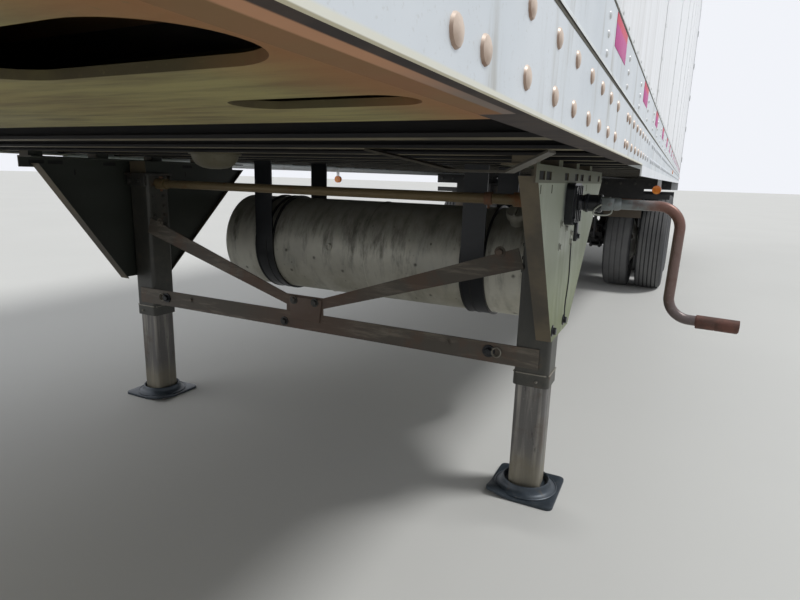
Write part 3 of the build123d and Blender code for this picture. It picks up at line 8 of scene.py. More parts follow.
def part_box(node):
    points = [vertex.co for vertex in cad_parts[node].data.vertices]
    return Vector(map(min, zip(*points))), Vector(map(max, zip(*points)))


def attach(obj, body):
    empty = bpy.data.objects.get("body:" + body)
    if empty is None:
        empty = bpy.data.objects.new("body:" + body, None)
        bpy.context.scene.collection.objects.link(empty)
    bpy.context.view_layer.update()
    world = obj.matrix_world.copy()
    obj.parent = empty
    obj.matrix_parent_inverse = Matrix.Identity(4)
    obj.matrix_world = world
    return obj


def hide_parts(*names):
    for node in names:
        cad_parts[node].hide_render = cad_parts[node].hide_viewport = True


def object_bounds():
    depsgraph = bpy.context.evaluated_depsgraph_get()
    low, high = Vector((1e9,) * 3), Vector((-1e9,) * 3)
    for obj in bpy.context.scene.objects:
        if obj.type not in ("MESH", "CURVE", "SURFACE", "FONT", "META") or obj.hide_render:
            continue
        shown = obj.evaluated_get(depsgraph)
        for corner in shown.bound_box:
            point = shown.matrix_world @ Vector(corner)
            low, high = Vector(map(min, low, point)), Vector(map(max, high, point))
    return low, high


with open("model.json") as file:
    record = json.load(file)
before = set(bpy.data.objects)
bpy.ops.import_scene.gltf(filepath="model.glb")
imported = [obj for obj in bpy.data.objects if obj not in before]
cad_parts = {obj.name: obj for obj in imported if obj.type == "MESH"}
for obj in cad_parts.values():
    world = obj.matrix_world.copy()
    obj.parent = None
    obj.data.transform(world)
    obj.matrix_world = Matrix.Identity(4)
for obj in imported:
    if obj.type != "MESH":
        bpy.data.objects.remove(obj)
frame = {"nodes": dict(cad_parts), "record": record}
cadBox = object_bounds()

nodes = frame["nodes"]
print("frame loaded:", len(nodes), "nodes")


# shading helpers: a socket that takes arithmetic, and one method that makes any node
def tint(colour):  # three bytes as the screen shows them, or a wire, which stays as it is
    def toLinear(v):
        v = v / 255
        return v / 12.92 if v <= 0.04045 else ((v + 0.055) / 1.055) ** 2.4
    return colour if isinstance(colour, Wire) else (*[toLinear(v) for v in colour], 1.0)


class Wire:
    def __init__(self, paint, socket):
        self.paint = paint
        self.socket = socket

    def math(self, operation, *others):
        return self.paint.node("ShaderNodeMath", {"operation": operation}, dict(enumerate((self, *others))))

    def __add__(self, other):
        return self.math("ADD", other)

    __radd__ = __add__

    def __sub__(self, other):
        return self.math("SUBTRACT", other)

    def __rsub__(self, other):
        return self.paint.node("ShaderNodeMath", {"operation": "SUBTRACT"}, {0: other, 1: self})

    def __neg__(self):
        return self.math("MULTIPLY", -1.0)

    def __mul__(self, other):
        return self.math("MULTIPLY", other)

    def __truediv__(self, other):
        return self.math("DIVIDE", other)

    def __pow__(self, other):
        return self.math("POWER", other)

    def sine(self):
        return self.math("SINE")

    def absolute(self):
        return self.math("ABSOLUTE")

    def fract(self):
        return self.math("FRACT")

    def smallest(self, other):
        return self.math("MINIMUM", other)

    def between(self, low, high):  # 0 below low, 1 above high
        return self.paint.node("ShaderNodeMapRange", {"interpolation_type": "SMOOTHSTEP"},
                               {"Value": self, "From Min": low, "From Max": high})

    def within(self, low, high):  # 1 below low, 0 above high
        return 1.0 - self.between(low, high)

    def near(self, middle, low, high):
        return (self - middle).absolute().within(low, high)


class Paint:
    def __init__(self, name):
        self.material = bpy.data.materials.new(name)
        self.material.use_nodes = True
        self.tree = self.material.node_tree
        self.shader = self.tree.nodes["Principled BSDF"]
        self.place = self.node("ShaderNodeTexCoord", out="Object")

    def node(self, kind, settings=None, sockets=None, out=0):
        made = self.tree.nodes.new(kind)
        for key, value in (settings or {}).items():
            setattr(made, key, value)
        for key, value in (sockets or {}).items():
            self.feed(made.inputs[key], value)
        return Wire(self, made.outputs[out])

    def feed(self, socket, value):
        if isinstance(value, Wire):
            self.tree.links.new(value.socket, socket)
        else:
            socket.default_value = value

    def placed(self, stretch, shift=(0, 0, 0)):
        return self.node("ShaderNodeMapping", None,
                         {"Vector": self.place, "Scale": stretch, "Location": shift})

    def noise(self, scale, detail=3.0, roughness=0.55, stretch=(1, 1, 1), shift=(0, 0, 0)):
        vector = self.placed(stretch, shift)
        return self.node("ShaderNodeTexNoise", None,
                         {"Vector": vector, "Scale": scale, "Detail": detail, "Roughness": roughness})

    def cells(self, scale, stretch=(1, 1, 1)):
        return self.node("ShaderNodeTexVoronoi", None, {"Vector": self.placed(stretch), "Scale": scale})

    def parted(self, vector):
        first = self.node("ShaderNodeSeparateXYZ", None, {0: vector})
        return [Wire(self, socket) for socket in first.socket.node.outputs]

    def axes(self):
        return self.parted(self.place)

    def facing(self):
        return self.parted(self.node("ShaderNodeNewGeometry", out="Normal"))

    def layers(self, colour, *coats):  # each coat: its share, its colour
        mixed = tint(colour)
        for share, coat in coats:  # sockets 6, 7 and output 2 are the mix node's colours
            mixed = self.node("ShaderNodeMix", {"data_type": "RGBA"}, {0: share, 6: mixed, 7: tint(coat)}, 2)
        return mixed

    def finish(self, colour, roughness, metallic=0.0, height=None, strength=0.3, depth=0.001, **constants):
        self.feed(self.shader.inputs["Base Color"], colour)
        self.feed(self.shader.inputs["Roughness"], roughness)
        self.feed(self.shader.inputs["Metallic"], metallic)
        if height is not None:
            bump = self.node("ShaderNodeBump", None,
                             {"Strength": strength, "Distance": depth, "Height": height})
            self.feed(self.shader.inputs["Normal"], bump)
        for key, value in constants.items():
            self.shader.inputs[key.replace("_", " ")].default_value = value
        return self.material


# materials, each named for what it covers
def makeCouplerPaint(name, light, dark, rusted, edgeY):
    paint = Paint(name)
    across = paint.axes()[1].absolute()
    streaks = paint.noise(9, 5, 0.6, (4.0, 0.6, 1.0))
    blotches = paint.noise(2.2, 4, 0.6)
    grit = paint.noise(160, 2)
    # painted shade: the upright faces, the plate's edges and the kingpin hole's wall are darkened
    inside = paint.facing()[2].absolute().within(0.4, 0.7)
    edge = (across + (blotches - 0.5) * 0.14).between(edgeY - 0.16, edgeY - 0.01)
    base = paint.layers(light, (streaks.between(0.35, 0.7), dark),
                        (blotches.between(0.5, 0.72) * 0.12, rusted), (inside * 0.7, (52, 44, 30)),
                        (edge, rusted), (grit.between(0.62, 0.75) * 0.4, dark))
    return paint.finish(base, 0.55 + blotches * 0.3, 0.0, streaks * 0.6 + grit * 0.4, 0.25, 0.001)


def makeSteelPaint(name, colour, worn, rust, rustShare=0.5, roughness=0.5, metallic=0.0):
    paint = Paint(name)
    large = paint.noise(3.5, 5, 0.65)
    small = paint.noise(26, 6, 0.7)
    fine = paint.noise(210, 2)
    spots = (small * 0.55 + large * 0.45).between(0.56, 0.66) * rustShare
    base = paint.layers(colour, ((large * 0.6 + small * 0.4).between(0.42, 0.68) * 0.5, worn), (spots, rust),
                        (fine.between(0.55, 0.8) * 0.25, worn))
    rough = roughness + spots * 0.3 + (small - 0.5) * 0.2
    return paint.finish(base, rough, metallic, small * 0.6 + fine * 0.4, 0.3, 0.0008)


def makeBeamPaint(name, shadedWeb, flange, grime):  # painted shade on the webs, painted light on the downward faces of the flanges
    paint = Paint(name)
    clouds = paint.noise(4, 5, 0.65)
    fine = paint.noise(90, 4)
    # painted light: downward faces take the pale flange colour, all other faces keep the web colour, which is
    # painted shade
    litUnderside = (-paint.facing()[2]).between(0.5, 0.9)
    base = paint.layers(shadedWeb, (clouds.between(0.4, 0.6) * 0.5, grime), (litUnderside, flange),
                        (litUnderside * clouds.between(0.48, 0.62) * 0.6, grime),
                        (fine.between(0.56, 0.75) * 0.3, grime))
    return paint.finish(base, 0.55 + clouds * 0.2, 0.1, fine * 0.6 + clouds * 0.4, 0.25, 0.0008)


def makeWingPaint(name, colour, pale, low, flange, inner):  # outside pale and scuffed; painted shade on the edge faces, the inner faces and the top band; darker and more olive towards the bottom
    marks = {"scuff": (-2.585, -0.235), "soot": (-2.545, -0.13), "topBandShade": -0.073}
    paint = Paint(name)
    x, y, z = paint.axes()
    ahead, across = paint.facing()[:2]
    clouds = paint.noise(3.2, 5, 0.6)
    runs = paint.noise(22, 5, 0.65, (1, 1, 0.12))
    fine = paint.noise(170, 3)
    scuff = x.near(marks["scuff"][0], 0.03, 0.12) * z.near(marks["scuff"][1], 0.02, 0.09)
    soot = x.near(marks["soot"][0], 0.01, 0.06) * z.near(marks["soot"][1], 0.02, 0.11)
    outward = across * (y / y.absolute())
    # painted shade for the edge faces that face forward and back, with darker clouds
    shadedEdge = paint.layers(flange, (clouds.between(0.4, 0.62), (94, 84, 66)))
    base = paint.layers(
        colour,
        # darker and more olive towards the bottom: the sunlit tone of the lower part, painted in
        ((-z + (clouds - 0.5) * 0.3).between(0.15, 0.58), low),
        (runs.between(0.5, 0.72) * 0.35, pale),
        (scuff * runs.between(0.35, 0.6) * 0.7, (196, 198, 190)),
        (soot * (0.35 + clouds * 0.8), (60, 66, 72)),
        # painted shade over the top band with the slots, above this height
        (z.between(marks["topBandShade"] - 0.0005, marks["topBandShade"] + 0.0005) * 0.9, (70, 72, 46)),
        (ahead.absolute().between(0.35, 0.6), shadedEdge),
        # painted shade on the faces that face the trailer's middle
        ((-outward).between(0.5, 0.8), inner),
        (fine.between(0.6, 0.8) * 0.25, (88, 84, 66)))
    return paint.finish(base, 0.46 + clouds * 0.2, 0.0, clouds * 0.6 + fine * 0.4, 0.28, 0.001)


def makeBracePaint(name, colour, worn, rust, dark):
    paint = Paint(name)
    across = paint.axes()[1].absolute()
    clouds = paint.noise(5, 5, 0.65)
    scratches = paint.noise(28, 5, 0.7, (1, 0.12, 1))
    fine = paint.noise(190, 3)
    base = paint.layers(colour, (scratches.between(0.46, 0.66) * 0.7, worn),
                        (clouds.between(0.5, 0.64) * 0.55, rust),
                        (across.within(0.1, 0.42) * (0.25 + clouds * 0.5), rust),
                        (fine.between(0.58, 0.76) * 0.4, dark))
    return paint.finish(base, 0.5 + clouds * 0.25, 0.15, scratches * 0.5 + fine * 0.5, 0.35, 0.001)


def makeRailMetal(name, colour, stained, streaked):
    ends = {"skirt": -2.42, "coupler": -1.093}  # x where the skirt strip starts and the coupler's strip ends
    paint = Paint(name)
    x, y, z = paint.axes()
    across = y.absolute()
    drawn = paint.noise(30, 3, 0.5, (0.15, 1, 9))
    runs = paint.noise(11, 5, 0.6, (1.6, 1, 0.25))
    clouds = paint.noise(3.1, 4, 0.6)
    grit = paint.noise(300, 2)
    lip = (-z).between(0.01, 0.012) * (x - ends["skirt"]).between(-0.002, 0.002)
    # painted shadow: a thin olive line along the lowest edge of the lip
    lipShadowLine = (-z + (clouds - 0.5) * 0.002).between(0.014, 0.0148)
    # painted shade: the rail's downward faces ahead of the skirt strip take the dark colour
    under = (-paint.facing()[2]).between(0.6, 0.9) * (x - ends["skirt"]).between(-0.02, 0.02)
    under = under * (-z).between(-0.1, -0.09)
    ahead = (x - ends["coupler"]).between(-0.002, 0.002)
    lipColour = paint.layers((220, 219, 206), (lipShadowLine * 0.8, (140, 130, 96)))
    strip = paint.layers((186, 138, 104), ((-x).between(0.86, 1.02), (126, 112, 102)))
    inner = paint.layers((132, 92, 58), (clouds.between(0.4, 0.6) * 0.5, (116, 100, 64)))
    # the dark colour is painted shade; its inner part near the coupler takes the coupler edge's colours
    dark = paint.layers((48, 40, 38), (runs.between(0.4, 0.6), (64, 54, 48)),
                        (across.within(1.285, 1.2872) * ahead, strip),
                        (across.within(1.2742, 1.2768) * ahead, inner))
    skirt = (-z).between(0.016, 0.017) * (-x).between(2.415, 2.42)
    base = paint.layers(colour, (clouds.between(0.4, 0.65) * 0.55, stained),
                        (runs.between(0.54, 0.74) * 0.7, streaked), (grit.between(0.6, 0.75) * 0.2, streaked),
                        (lip, lipColour), (under, dark), (skirt * 0.6, (236, 238, 240)))
    rough = 0.34 + clouds * 0.3 + runs.between(0.5, 0.8) * 0.2 + under * 0.4
    bumps = drawn * 0.5 + grit * 0.25 + runs * 0.25
    return paint.finish(base, rough, 0.55 - under * 0.55, bumps, 0.16, 0.0006)


def makePanelWhite(name, colour, grime):
    paint = Paint(name)
    x, z = paint.axes()[::2]
    flutes = (x * 494).sine() * paint.facing()[1].absolute().between(0.8, 0.95)
    waves = paint.noise(1.3, 2, 0.5)
    rain = paint.noise(10, 5, 0.65, (2.4, 2.4, 0.16))
    low = (-z).between(-0.75, -0.15)
    dirt = (rain.between(0.5, 0.78) * 0.45 + low * rain.between(0.3, 0.7) * 0.5).smallest(1.0)
    bumps = waves * 0.8 + rain * 0.1 + flutes * 0.05
    return paint.finish(paint.layers(colour, (dirt * 0.7, grime)), 0.28 + rain * 0.2, 0.0, bumps, 0.2, 0.004,
                        Coat_Weight=0.2)


def makeTankMetal(name, colour, stain, dark):
    paint = Paint(name)
    z = paint.axes()[2]
    runs = paint.noise(10, 6, 0.7, (0.6, 1.7, 0.4))
    clouds = paint.noise(3.3, 5, 0.6)
    specks = paint.cells(17, (1, 1.2, 1))
    drops = paint.cells(13, (0.7, 1, 1))
    grit = paint.noise(180, 3)
    middle = (z + (clouds - 0.5) * 0.2).near(-0.4, 0.06, 0.2)
    blots = (drops + grit * 0.08).within(0.05, 0.22) * (-z + (runs - 0.5) * 0.2).between(0.38, 0.46)
    base = paint.layers(
        colour,
        (clouds.between(0.35, 0.65), stain),
        (runs.between(0.46, 0.7) * (0.25 + middle * 0.5), dark),
        # painted sheen: a paler band round the middle of the tank
        (middle * clouds.between(0.35, 0.7) * 0.5, (206, 208, 204)),
        (specks.within(0.05, 0.16) * clouds.between(0.42, 0.6) * 0.85, dark),
        (blots * 0.85, (38, 36, 34)),
        # painted shade: darker over the top of the tank
        ((z + (runs - 0.5) * 0.24).between(-0.46, -0.26) * 0.6, dark))
    return paint.finish(base, 0.38 + runs * 0.3, 0.25, runs * 0.5 + grit * 0.5, 0.2, 0.0008)


def makeRubber(name, colour, dusty, dustShare=0.6):
    paint = Paint(name)
    clouds = paint.noise(7, 5, 0.6)
    grit = paint.noise(120, 3)
    base = paint.layers(colour, ((clouds * 0.7 + grit * 0.3).between(0.4, 0.66) * dustShare, dusty))
    return paint.finish(base, 0.62 + clouds * 0.25, 0.0, grit * 0.6 + clouds * 0.4, 0.35, 0.0012)


def makeLens(name, colour, glow):
    paint = Paint(name)
    y, z = paint.axes()[1:]
    ribs = (y * 900).sine() * 0.5 + (z * 900).sine() * 0.5
    base = paint.layers(colour, (paint.noise(30, 2).between(0.3, 0.7), glow))
    return paint.finish(base, 0.12, 0.0, ribs, 0.25, 0.0008, Coat_Weight=0.6)


def makeBrightSteel(name, colour, dull):
    paint = Paint(name)
    brushed = paint.noise(40, 4, 0.6, (1, 1, 12))
    base = paint.layers(colour, (paint.noise(4, 4).between(0.35, 0.7), dull))
    return paint.finish(base, 0.26 + brushed * 0.22, 0.85, brushed, 0.12, 0.0005)


def repaint(name, look):
    mesh = nodes[name].data
    mesh.materials.clear()
    mesh.materials.append(look)


looks = {
    "floor_foam": makeRailMetal("ductFloorMetal", (168, 170, 170), (140, 140, 138), (104, 102, 96)),
    # crossmembers: the near-black web colour is painted shade, the pale flange colour is painted light from
    # below
    "crossmember_steel": makeBeamPaint("crossmemberMetal", (20, 20, 24), (98, 90, 66), (40, 36, 32)),
    "mill_aluminium": makeRailMetal("railMetal", (214, 219, 222), (196, 203, 208), (168, 164, 154)),
    "white_panel": makePanelWhite("panelWhite", (236, 238, 240), (172, 170, 162)),
    "unit_white": makePanelWhite("unitWhite", (234, 236, 238), (176, 174, 168)),
    "bright_frame": makeBrightSteel("doorFrameSteel", (196, 198, 200), (168, 170, 172)),
    "plated_steel": makeBrightSteel("lockPlate", (176, 178, 178), (140, 140, 138)),
    "coupler_paint": makeCouplerPaint("couplerPaint", (142, 133, 82), (106, 96, 58), (144, 98, 56), 1.235),
    # wing: the low colour paints the sunlit tone of the lower part; the last two colours are painted shade on
    # the edge faces and the inner faces
    "wing_paint": makeWingPaint("wingPaint", (146, 152, 134), (170, 176, 158), (106, 114, 80),
                                (66, 60, 50), (40, 44, 38)),
    # tank: the dark colour serves the streaks, specks and the painted shade over the top
    "tank_aluminium": makeTankMetal("tankMetal", (204, 202, 190), (170, 166, 150), (62, 58, 48)),
    "flap_rubber": makeRubber("flapRubber", (32, 32, 33), (58, 57, 54)),
    "tyre_rubber": makeRubber("tyreRubber", (62, 63, 66), (96, 95, 92), 0.5),
    "red_lens": makeLens("redLens", (176, 22, 18), (214, 44, 30)),
    "amber_lens": makeLens("amberLens", (236, 120, 20), (252, 150, 44)),
}
steels = {  # name, colour, worn, rust, share of rust, roughness, metallic
    "worn_steel": ("wornSteel", (70, 72, 74), (104, 102, 98), (78, 62, 50), 0.5, 0.36, 0.6),
    "leg_paint": ("legPaint", (58, 58, 54), (92, 88, 78), (92, 68, 50), 0.6, 0.45, 0.1),
    "foot_paint": ("footPaint", (42, 50, 58), (74, 84, 92), (96, 84, 70), 0.6, 0.42, 0.3),
    "shaft_steel": ("shaftSteel", (112, 96, 66), (88, 76, 54), (122, 74, 40), 0.7, 0.5, 0.2),
    "greasy_black": ("greasyBlack", (26, 28, 32), (44, 46, 50), (60, 54, 46), 0.4, 0.32, 0.2),
    "crank_steel": ("crankSteel", (128, 112, 106), (142, 132, 126), (112, 72, 60), 0.9, 0.42, 0.5),
    "chassis_paint": ("chassisPaint", (40, 40, 42), (66, 64, 60), (96, 70, 50), 0.5, 0.5, 0.0),
    "spring_steel": ("springSteel", (56, 50, 46), (78, 66, 56), (110, 70, 46), 0.8, 0.6, 0.0),
    "wheel_white": ("wheelPaint", (206, 206, 202), (176, 172, 164), (136, 96, 66), 0.35, 0.42, 0.0),
    "smallRivet": ("smallRivet", (206, 208, 208), (178, 176, 170), (150, 128, 108), 0.3, 0.4, 0.4),
    "sealant": ("sealant", (92, 90, 80), (66, 64, 56), (116, 106, 84), 0.4, 0.75, 0.0),
    "gearBolt": ("gearBolt", (60, 60, 58), (98, 94, 86), (104, 72, 48), 0.6, 0.45, 0.5),
    "paleBolt": ("paleBolt", (150, 152, 142), (176, 176, 166), (98, 84, 62), 0.4, 0.45, 0.4),
    "rust": ("rustySteel", (108, 74, 50), (84, 66, 52), (136, 82, 46), 0.8, 0.7, 0.0),
    "weld": ("weldBead", (128, 124, 114), (160, 156, 144), (92, 72, 54), 0.5, 0.5, 0.3),
    "gusset": ("gussetRust", (92, 76, 66), (112, 98, 86), (108, 74, 54), 0.7, 0.62, 0.1),
    "strap": ("strapSteel", (30, 30, 32), (52, 50, 48), (84, 62, 46), 0.4, 0.45, 0.2),
    "bentStrap": ("bentStrap", (62, 58, 50), (84, 78, 66), (92, 70, 50), 0.5, 0.5, 0.2),
    "bowl": ("drainPaint", (84, 80, 62), (104, 98, 78), (66, 56, 42), 0.5, 0.55, 0.0),
    "hub": ("hubPaint", (120, 118, 112), (96, 92, 84), (112, 74, 48), 0.6, 0.45, 0.4),
    "drum": ("drumIron", (74, 58, 48), (96, 76, 60), (126, 78, 46), 0.8, 0.75, 0.0),
    "guard": ("guardBar", (74, 64, 52), (96, 86, 72), (98, 66, 46), 0.5, 0.6, 0.1),
}
for slot, row in steels.items():
    looks[slot] = makeSteelPaint(*row)
for part in frame["record"]["subparts"]:
    repaint(part["node"], looks[part["material_slot"]])
print("materials on the frame")


# modelling helpers, all by the usual operators
def hold(piece):
    if bpy.context.object and bpy.context.object.mode != "OBJECT":
        bpy.ops.object.mode_set(mode="OBJECT")
    bpy.ops.object.select_all(action="DESELECT")
    if piece:
        piece.select_set(True)
        bpy.context.view_layer.objects.active = piece


def settle(piece):
    hold(piece)
    bpy.ops.object.transform_apply(location=True, rotation=True, scale=True)
    return piece


def pick(piece, test, kind="FACE"):  # faces by centre and normal, points by place and normal
    hold(piece)
    bpy.ops.object.mode_set(mode="EDIT")
    bpy.ops.mesh.select_mode(type=kind)
    bpy.ops.mesh.select_all(action="DESELECT")
    bpy.ops.object.mode_set(mode="OBJECT")
    for part in piece.data.polygons if kind == "FACE" else piece.data.vertices:
        part.select = test(part.center if kind == "FACE" else part.co, part.normal)
    bpy.ops.object.mode_set(mode="EDIT")


def block(size, place, edge=0.002, turn=(0, 0, 0), segments=2):  # a box with rounded edges
    hold(None)
    bpy.ops.mesh.primitive_cube_add(size=1, location=place, rotation=turn)
    piece = bpy.context.object
    piece.scale = size
    settle(piece)
    bpy.ops.object.mode_set(mode="EDIT")
    bpy.ops.mesh.select_mode(type="EDGE")
    bpy.ops.mesh.select_all(action="SELECT")
    bpy.ops.mesh.bevel(offset=edge, segments=segments)
    bpy.ops.object.mode_set(mode="OBJECT")
    return piece


def turned(place, axis, profile, sides=24, ring=False):  # profile: distance along the axis, radius
    hold(None)
    along, radius = profile[0]
    bpy.ops.mesh.primitive_circle_add(vertices=sides, radius=radius, location=(0, 0, along))
    piece = bpy.context.object
    bpy.ops.object.transform_apply(location=True)
    bpy.ops.object.mode_set(mode="EDIT")
    bpy.ops.mesh.select_mode(type="EDGE")
    bpy.ops.mesh.select_all(action="SELECT")
    for nextAlong, nextRadius in profile[1:]:
        bpy.ops.mesh.extrude_edges_move(TRANSFORM_OT_translate={"value": (0, 0, nextAlong - along)})
        grow = nextRadius / radius
        bpy.ops.transform.resize(value=(grow, grow, 1), center_override=(0, 0, nextAlong))
        along, radius = nextAlong, nextRadius
    bpy.ops.mesh.select_all(action="DESELECT")
    bpy.ops.mesh.select_non_manifold()
    if ring:
        bpy.ops.mesh.bridge_edge_loops()
    else:
        bpy.ops.mesh.select_all(action="SELECT")
        bpy.ops.mesh.fill_holes(sides=0)
    bpy.ops.mesh.select_all(action="SELECT")
    bpy.ops.mesh.normals_make_consistent(inside=False)
    bpy.ops.object.mode_set(mode="OBJECT")
    piece.rotation_euler = Vector(axis).to_track_quat("Z", "Y").to_euler()
    piece.location = place
    return settle(piece)


def bar(start, end, radius, sides=16, edge=0.001):
    run = Vector(end) - Vector(start)
    profile = [(0, radius - edge), (edge, radius), (run.length - edge, radius), (run.length, radius - edge)]
    return turned(start, run, profile, sides)


def joined(pieces):
    hold(None)
    for piece in pieces:
        piece.select_set(True)
    bpy.context.view_layer.objects.active = pieces[0]
    if len(pieces) > 1:
        bpy.ops.object.join()
    return settle(pieces[0])


def another(piece, move):  # a copy with its own mesh
    other = piece.copy()
    other.data = piece.data.copy()
    other.location = move
    bpy.context.scene.collection.objects.link(other)
    return other


def copied(piece, moves):  # the piece itself stays as the first of the set
    return joined([piece] + [another(piece, move) for move in moves])


def twin(piece, move=(0, 0, 0), flip=None):  # a copy, mirrored across y = flip
    other = settle(another(piece, move))
    if flip is not None:
        bpy.ops.object.mode_set(mode="EDIT")
        bpy.ops.mesh.select_all(action="SELECT")
        bpy.ops.transform.mirror(constraint_axis=(False, True, False), center_override=(0, flip, 0))
        bpy.ops.mesh.normals_make_consistent(inside=False)
        bpy.ops.object.mode_set(mode="OBJECT")
    return other


def finished(piece, kind, **settings):  # one modifier, set and applied
    hold(piece)
    modifier = piece.modifiers.new(kind.lower(), kind)
    for key, value in settings.items():
        setattr(modifier, key, value)
    bpy.ops.object.modifier_apply(modifier=modifier.name)
    return piece


def inRow(piece, count, step):
    return finished(piece, "ARRAY", use_relative_offset=False, use_constant_offset=True,
                    constant_offset_displace=step, count=count)


def dome(place, axis, radius, height, sides=12):
    arch = ((0, 1), (0.5, 0.88), (0.85, 0.55), (1, 0.15))  # shares of the height and the radius
    return turned(place, axis, [(height * up, radius * out) for up, out in arch], sides)


def hexBolt(place, axis, radius, height):
    washer = turned(place, axis, [(0, radius * 1.6), (height * 0.25, radius * 1.55)], 16)
    head = turned(place, axis, [(height * 0.2, radius), (height * 0.88, radius), (height, radius * 0.84)], 6)
    return joined([washer, head])


def hexBolts(axis, radius, height, places):
    return [hexBolt(place, axis, radius, height) for place in places]


def bentTube(points, radius, sides=5):  # a rounded tube along the points
    hold(None)
    curve = bpy.data.curves.new("bentTube", "CURVE")
    curve.dimensions = "3D"
    curve.bevel_depth = radius
    curve.bevel_resolution = sides - 2
    curve.use_fill_caps = True
    curve.resolution_u = 6
    line = curve.splines.new("NURBS")
    line.points.add(len(points) - 1)
    for point, place in zip(line.points, points):
        point.co = (*place, 1)
    line.order_u = 3
    line.use_endpoint_u = True
    piece = bpy.data.objects.new("bentTube", curve)
    bpy.context.scene.collection.objects.link(piece)
    hold(piece)
    bpy.ops.object.convert(target="MESH")
    return settle(bpy.context.object)


# joins the pieces, mirrors them for both sides if asked, and gives them a material, found by the look or else
# the slot, and a body
def dress(name, pieces, slot, look=None, both=False, body="trailer", instead=None):
    piece = joined(pieces if isinstance(pieces, list) else [pieces])
    if both:
        finished(piece, "MIRROR", use_axis=(False, True, False), use_mirror_merge=False)
    piece.name = name
    piece.data.name = name
    hold(piece)
    bpy.ops.object.shade_smooth_by_angle(angle=math.radians(34))
    piece.data.materials.clear()
    piece.data.materials.append(looks[look or slot] if isinstance(look or slot, str) else look)
    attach(piece, body)
    if instead:
        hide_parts(instead)


# rivets, tape and sealant along the bottom rails, bands and walls
def makeRivetSteel(name, peach, brown, far):  # peach heads near the nose, pale ones behind, with painted shade on their forward and lower sides
    paint = Paint(name)
    ahead, up = paint.facing()[::2]
    clouds = paint.noise(45, 4, 0.6)
    shaded = (ahead * 0.6 - up * 0.8).between(-0.05, 0.55)
    base = paint.layers(peach, ((shaded * 0.75 + clouds.between(0.5, 0.7) * 0.3).smallest(1.0), brown),
                        ((-paint.axes()[0]).between(2.1, 2.7), far))
    return paint.finish(base, 0.36 + clouds * 0.2, 0.25, clouds, 0.2, 0.0004)


def makeTape(name, low, high):
    paint = Paint(name)
    honeycomb = paint.cells(420)
    weathered = paint.noise(40, 4, 0.6)
    base = paint.layers(low, (paint.axes()[2].between(0.158, 0.164), high),
                        (weathered.between(0.58, 0.75) * 0.3, (222, 120, 168)),
                        (honeycomb.between(0.4, 0.6) * 0.08, (236, 150, 190)))
    return paint.finish(base, 0.4 + weathered * 0.2, 0.0, honeycomb, 0.2, 0.0004)


# a head with its copies, repeated in rows, size: radius, height, sides
def rivetRows(name, slot, place, size, rows, moves=(), axis=(0, 1, 0), both=True):
    heads = copied(dome(place, axis, *size), moves)
    for count, step in rows:
        inRow(heads, count, step)
    dress(name, heads, slot, "smallRivet", both)


railRivets = {"radius": 0.0095, "height": 0.0036, "face": 1.295, "rows": (0.0085, 0.0575), "first": 0.905,
              "period": 0.92, "groups": 15, "rear": -12.05, "front": 0.82,
              "offsets": (0.0, 0.049, 0.148, 0.25, 0.347, 0.449, 0.545, 0.645, 0.745)}
rivetX = [railRivets["first"] - group * railRivets["period"] - offset
          for group in range(railRivets["groups"]) for offset in railRivets["offsets"]]
rivetX = [x for x in rivetX if railRivets["rear"] < x < railRivets["front"]]
lowRow = railRivets["rows"][0]
moves = [(x - rivetX[0], 0, z - lowRow) for x in rivetX for z in railRivets["rows"]]
heads = dome((rivetX[0], railRivets["face"], lowRow), (0, 1, 0), railRivets["radius"], railRivets["height"])
# the brown colour is painted shade on the heads' forward and lower sides
rivetLook = makeRivetSteel("rivetSteel", (212, 194, 178), (134, 106, 88), (196, 200, 204))
dress("railRivets", copied(heads, moves[1:]), "mill_aluminium", rivetLook, True)

wall = {"face": 1.29, "bandFace": 1.294, "first": 0.77, "pitch": 0.1016, "count": 126, "foot": 0.198,
        "top": 2.752, "topStep": (0.05, 0, 0.062)}
bandRivets = {"first": 0.5945, "row": 0.1525, "rowSteps": (-0.0235, -0.048), "pitch": 0.2985, "count": 43}
rivetRows("bandRivets", "mill_aluminium", (bandRivets["first"], wall["bandFace"], bandRivets["row"]),
          (0.0055, 0.0028, 10), [(bandRivets["count"], (-bandRivets["pitch"], 0, 0))],
          [(0, 0, step) for step in bandRivets["rowSteps"]])
alongWall = [(wall["count"], (-wall["pitch"], 0, 0))]
rivetRows("wallFootRivets", "white_panel", (wall["first"], wall["face"], wall["foot"]),
          (0.0042, 0.0018, 8), alongWall)
rivetRows("topRailRivets", "mill_aluminium", (wall["first"], wall["bandFace"], wall["top"]),
          (0.0055, 0.0026, 8), alongWall, [wall["topStep"]])

panelJoints = {"first": -0.381, "pitch": 1.2192, "count": 10, "width": 0.046, "thickness": 0.0013,
               "low": 0.1815, "high": 2.73, "rivetLow": 0.24, "rivetRows": 25, "rivetSpread": 0.015}
jointSteps = (panelJoints["count"], (-panelJoints["pitch"], 0, 0))
seam = block((panelJoints["width"], panelJoints["thickness"], panelJoints["high"] - panelJoints["low"]),
             (panelJoints["first"], wall["face"] + panelJoints["thickness"] / 2,
              (panelJoints["low"] + panelJoints["high"]) / 2), 0.0005)
dress("panelJoints", inRow(seam, *jointSteps), "white_panel", None, True)
rivetRows("panelRivets", "white_panel",
          (panelJoints["first"] - panelJoints["rivetSpread"], wall["face"] + 0.0012, panelJoints["rivetLow"]),
          (0.004, 0.0016, 8), [(panelJoints["rivetRows"], (0, 0, wall["pitch"])), jointSteps],
          [(2 * panelJoints["rivetSpread"], 0, 0)])

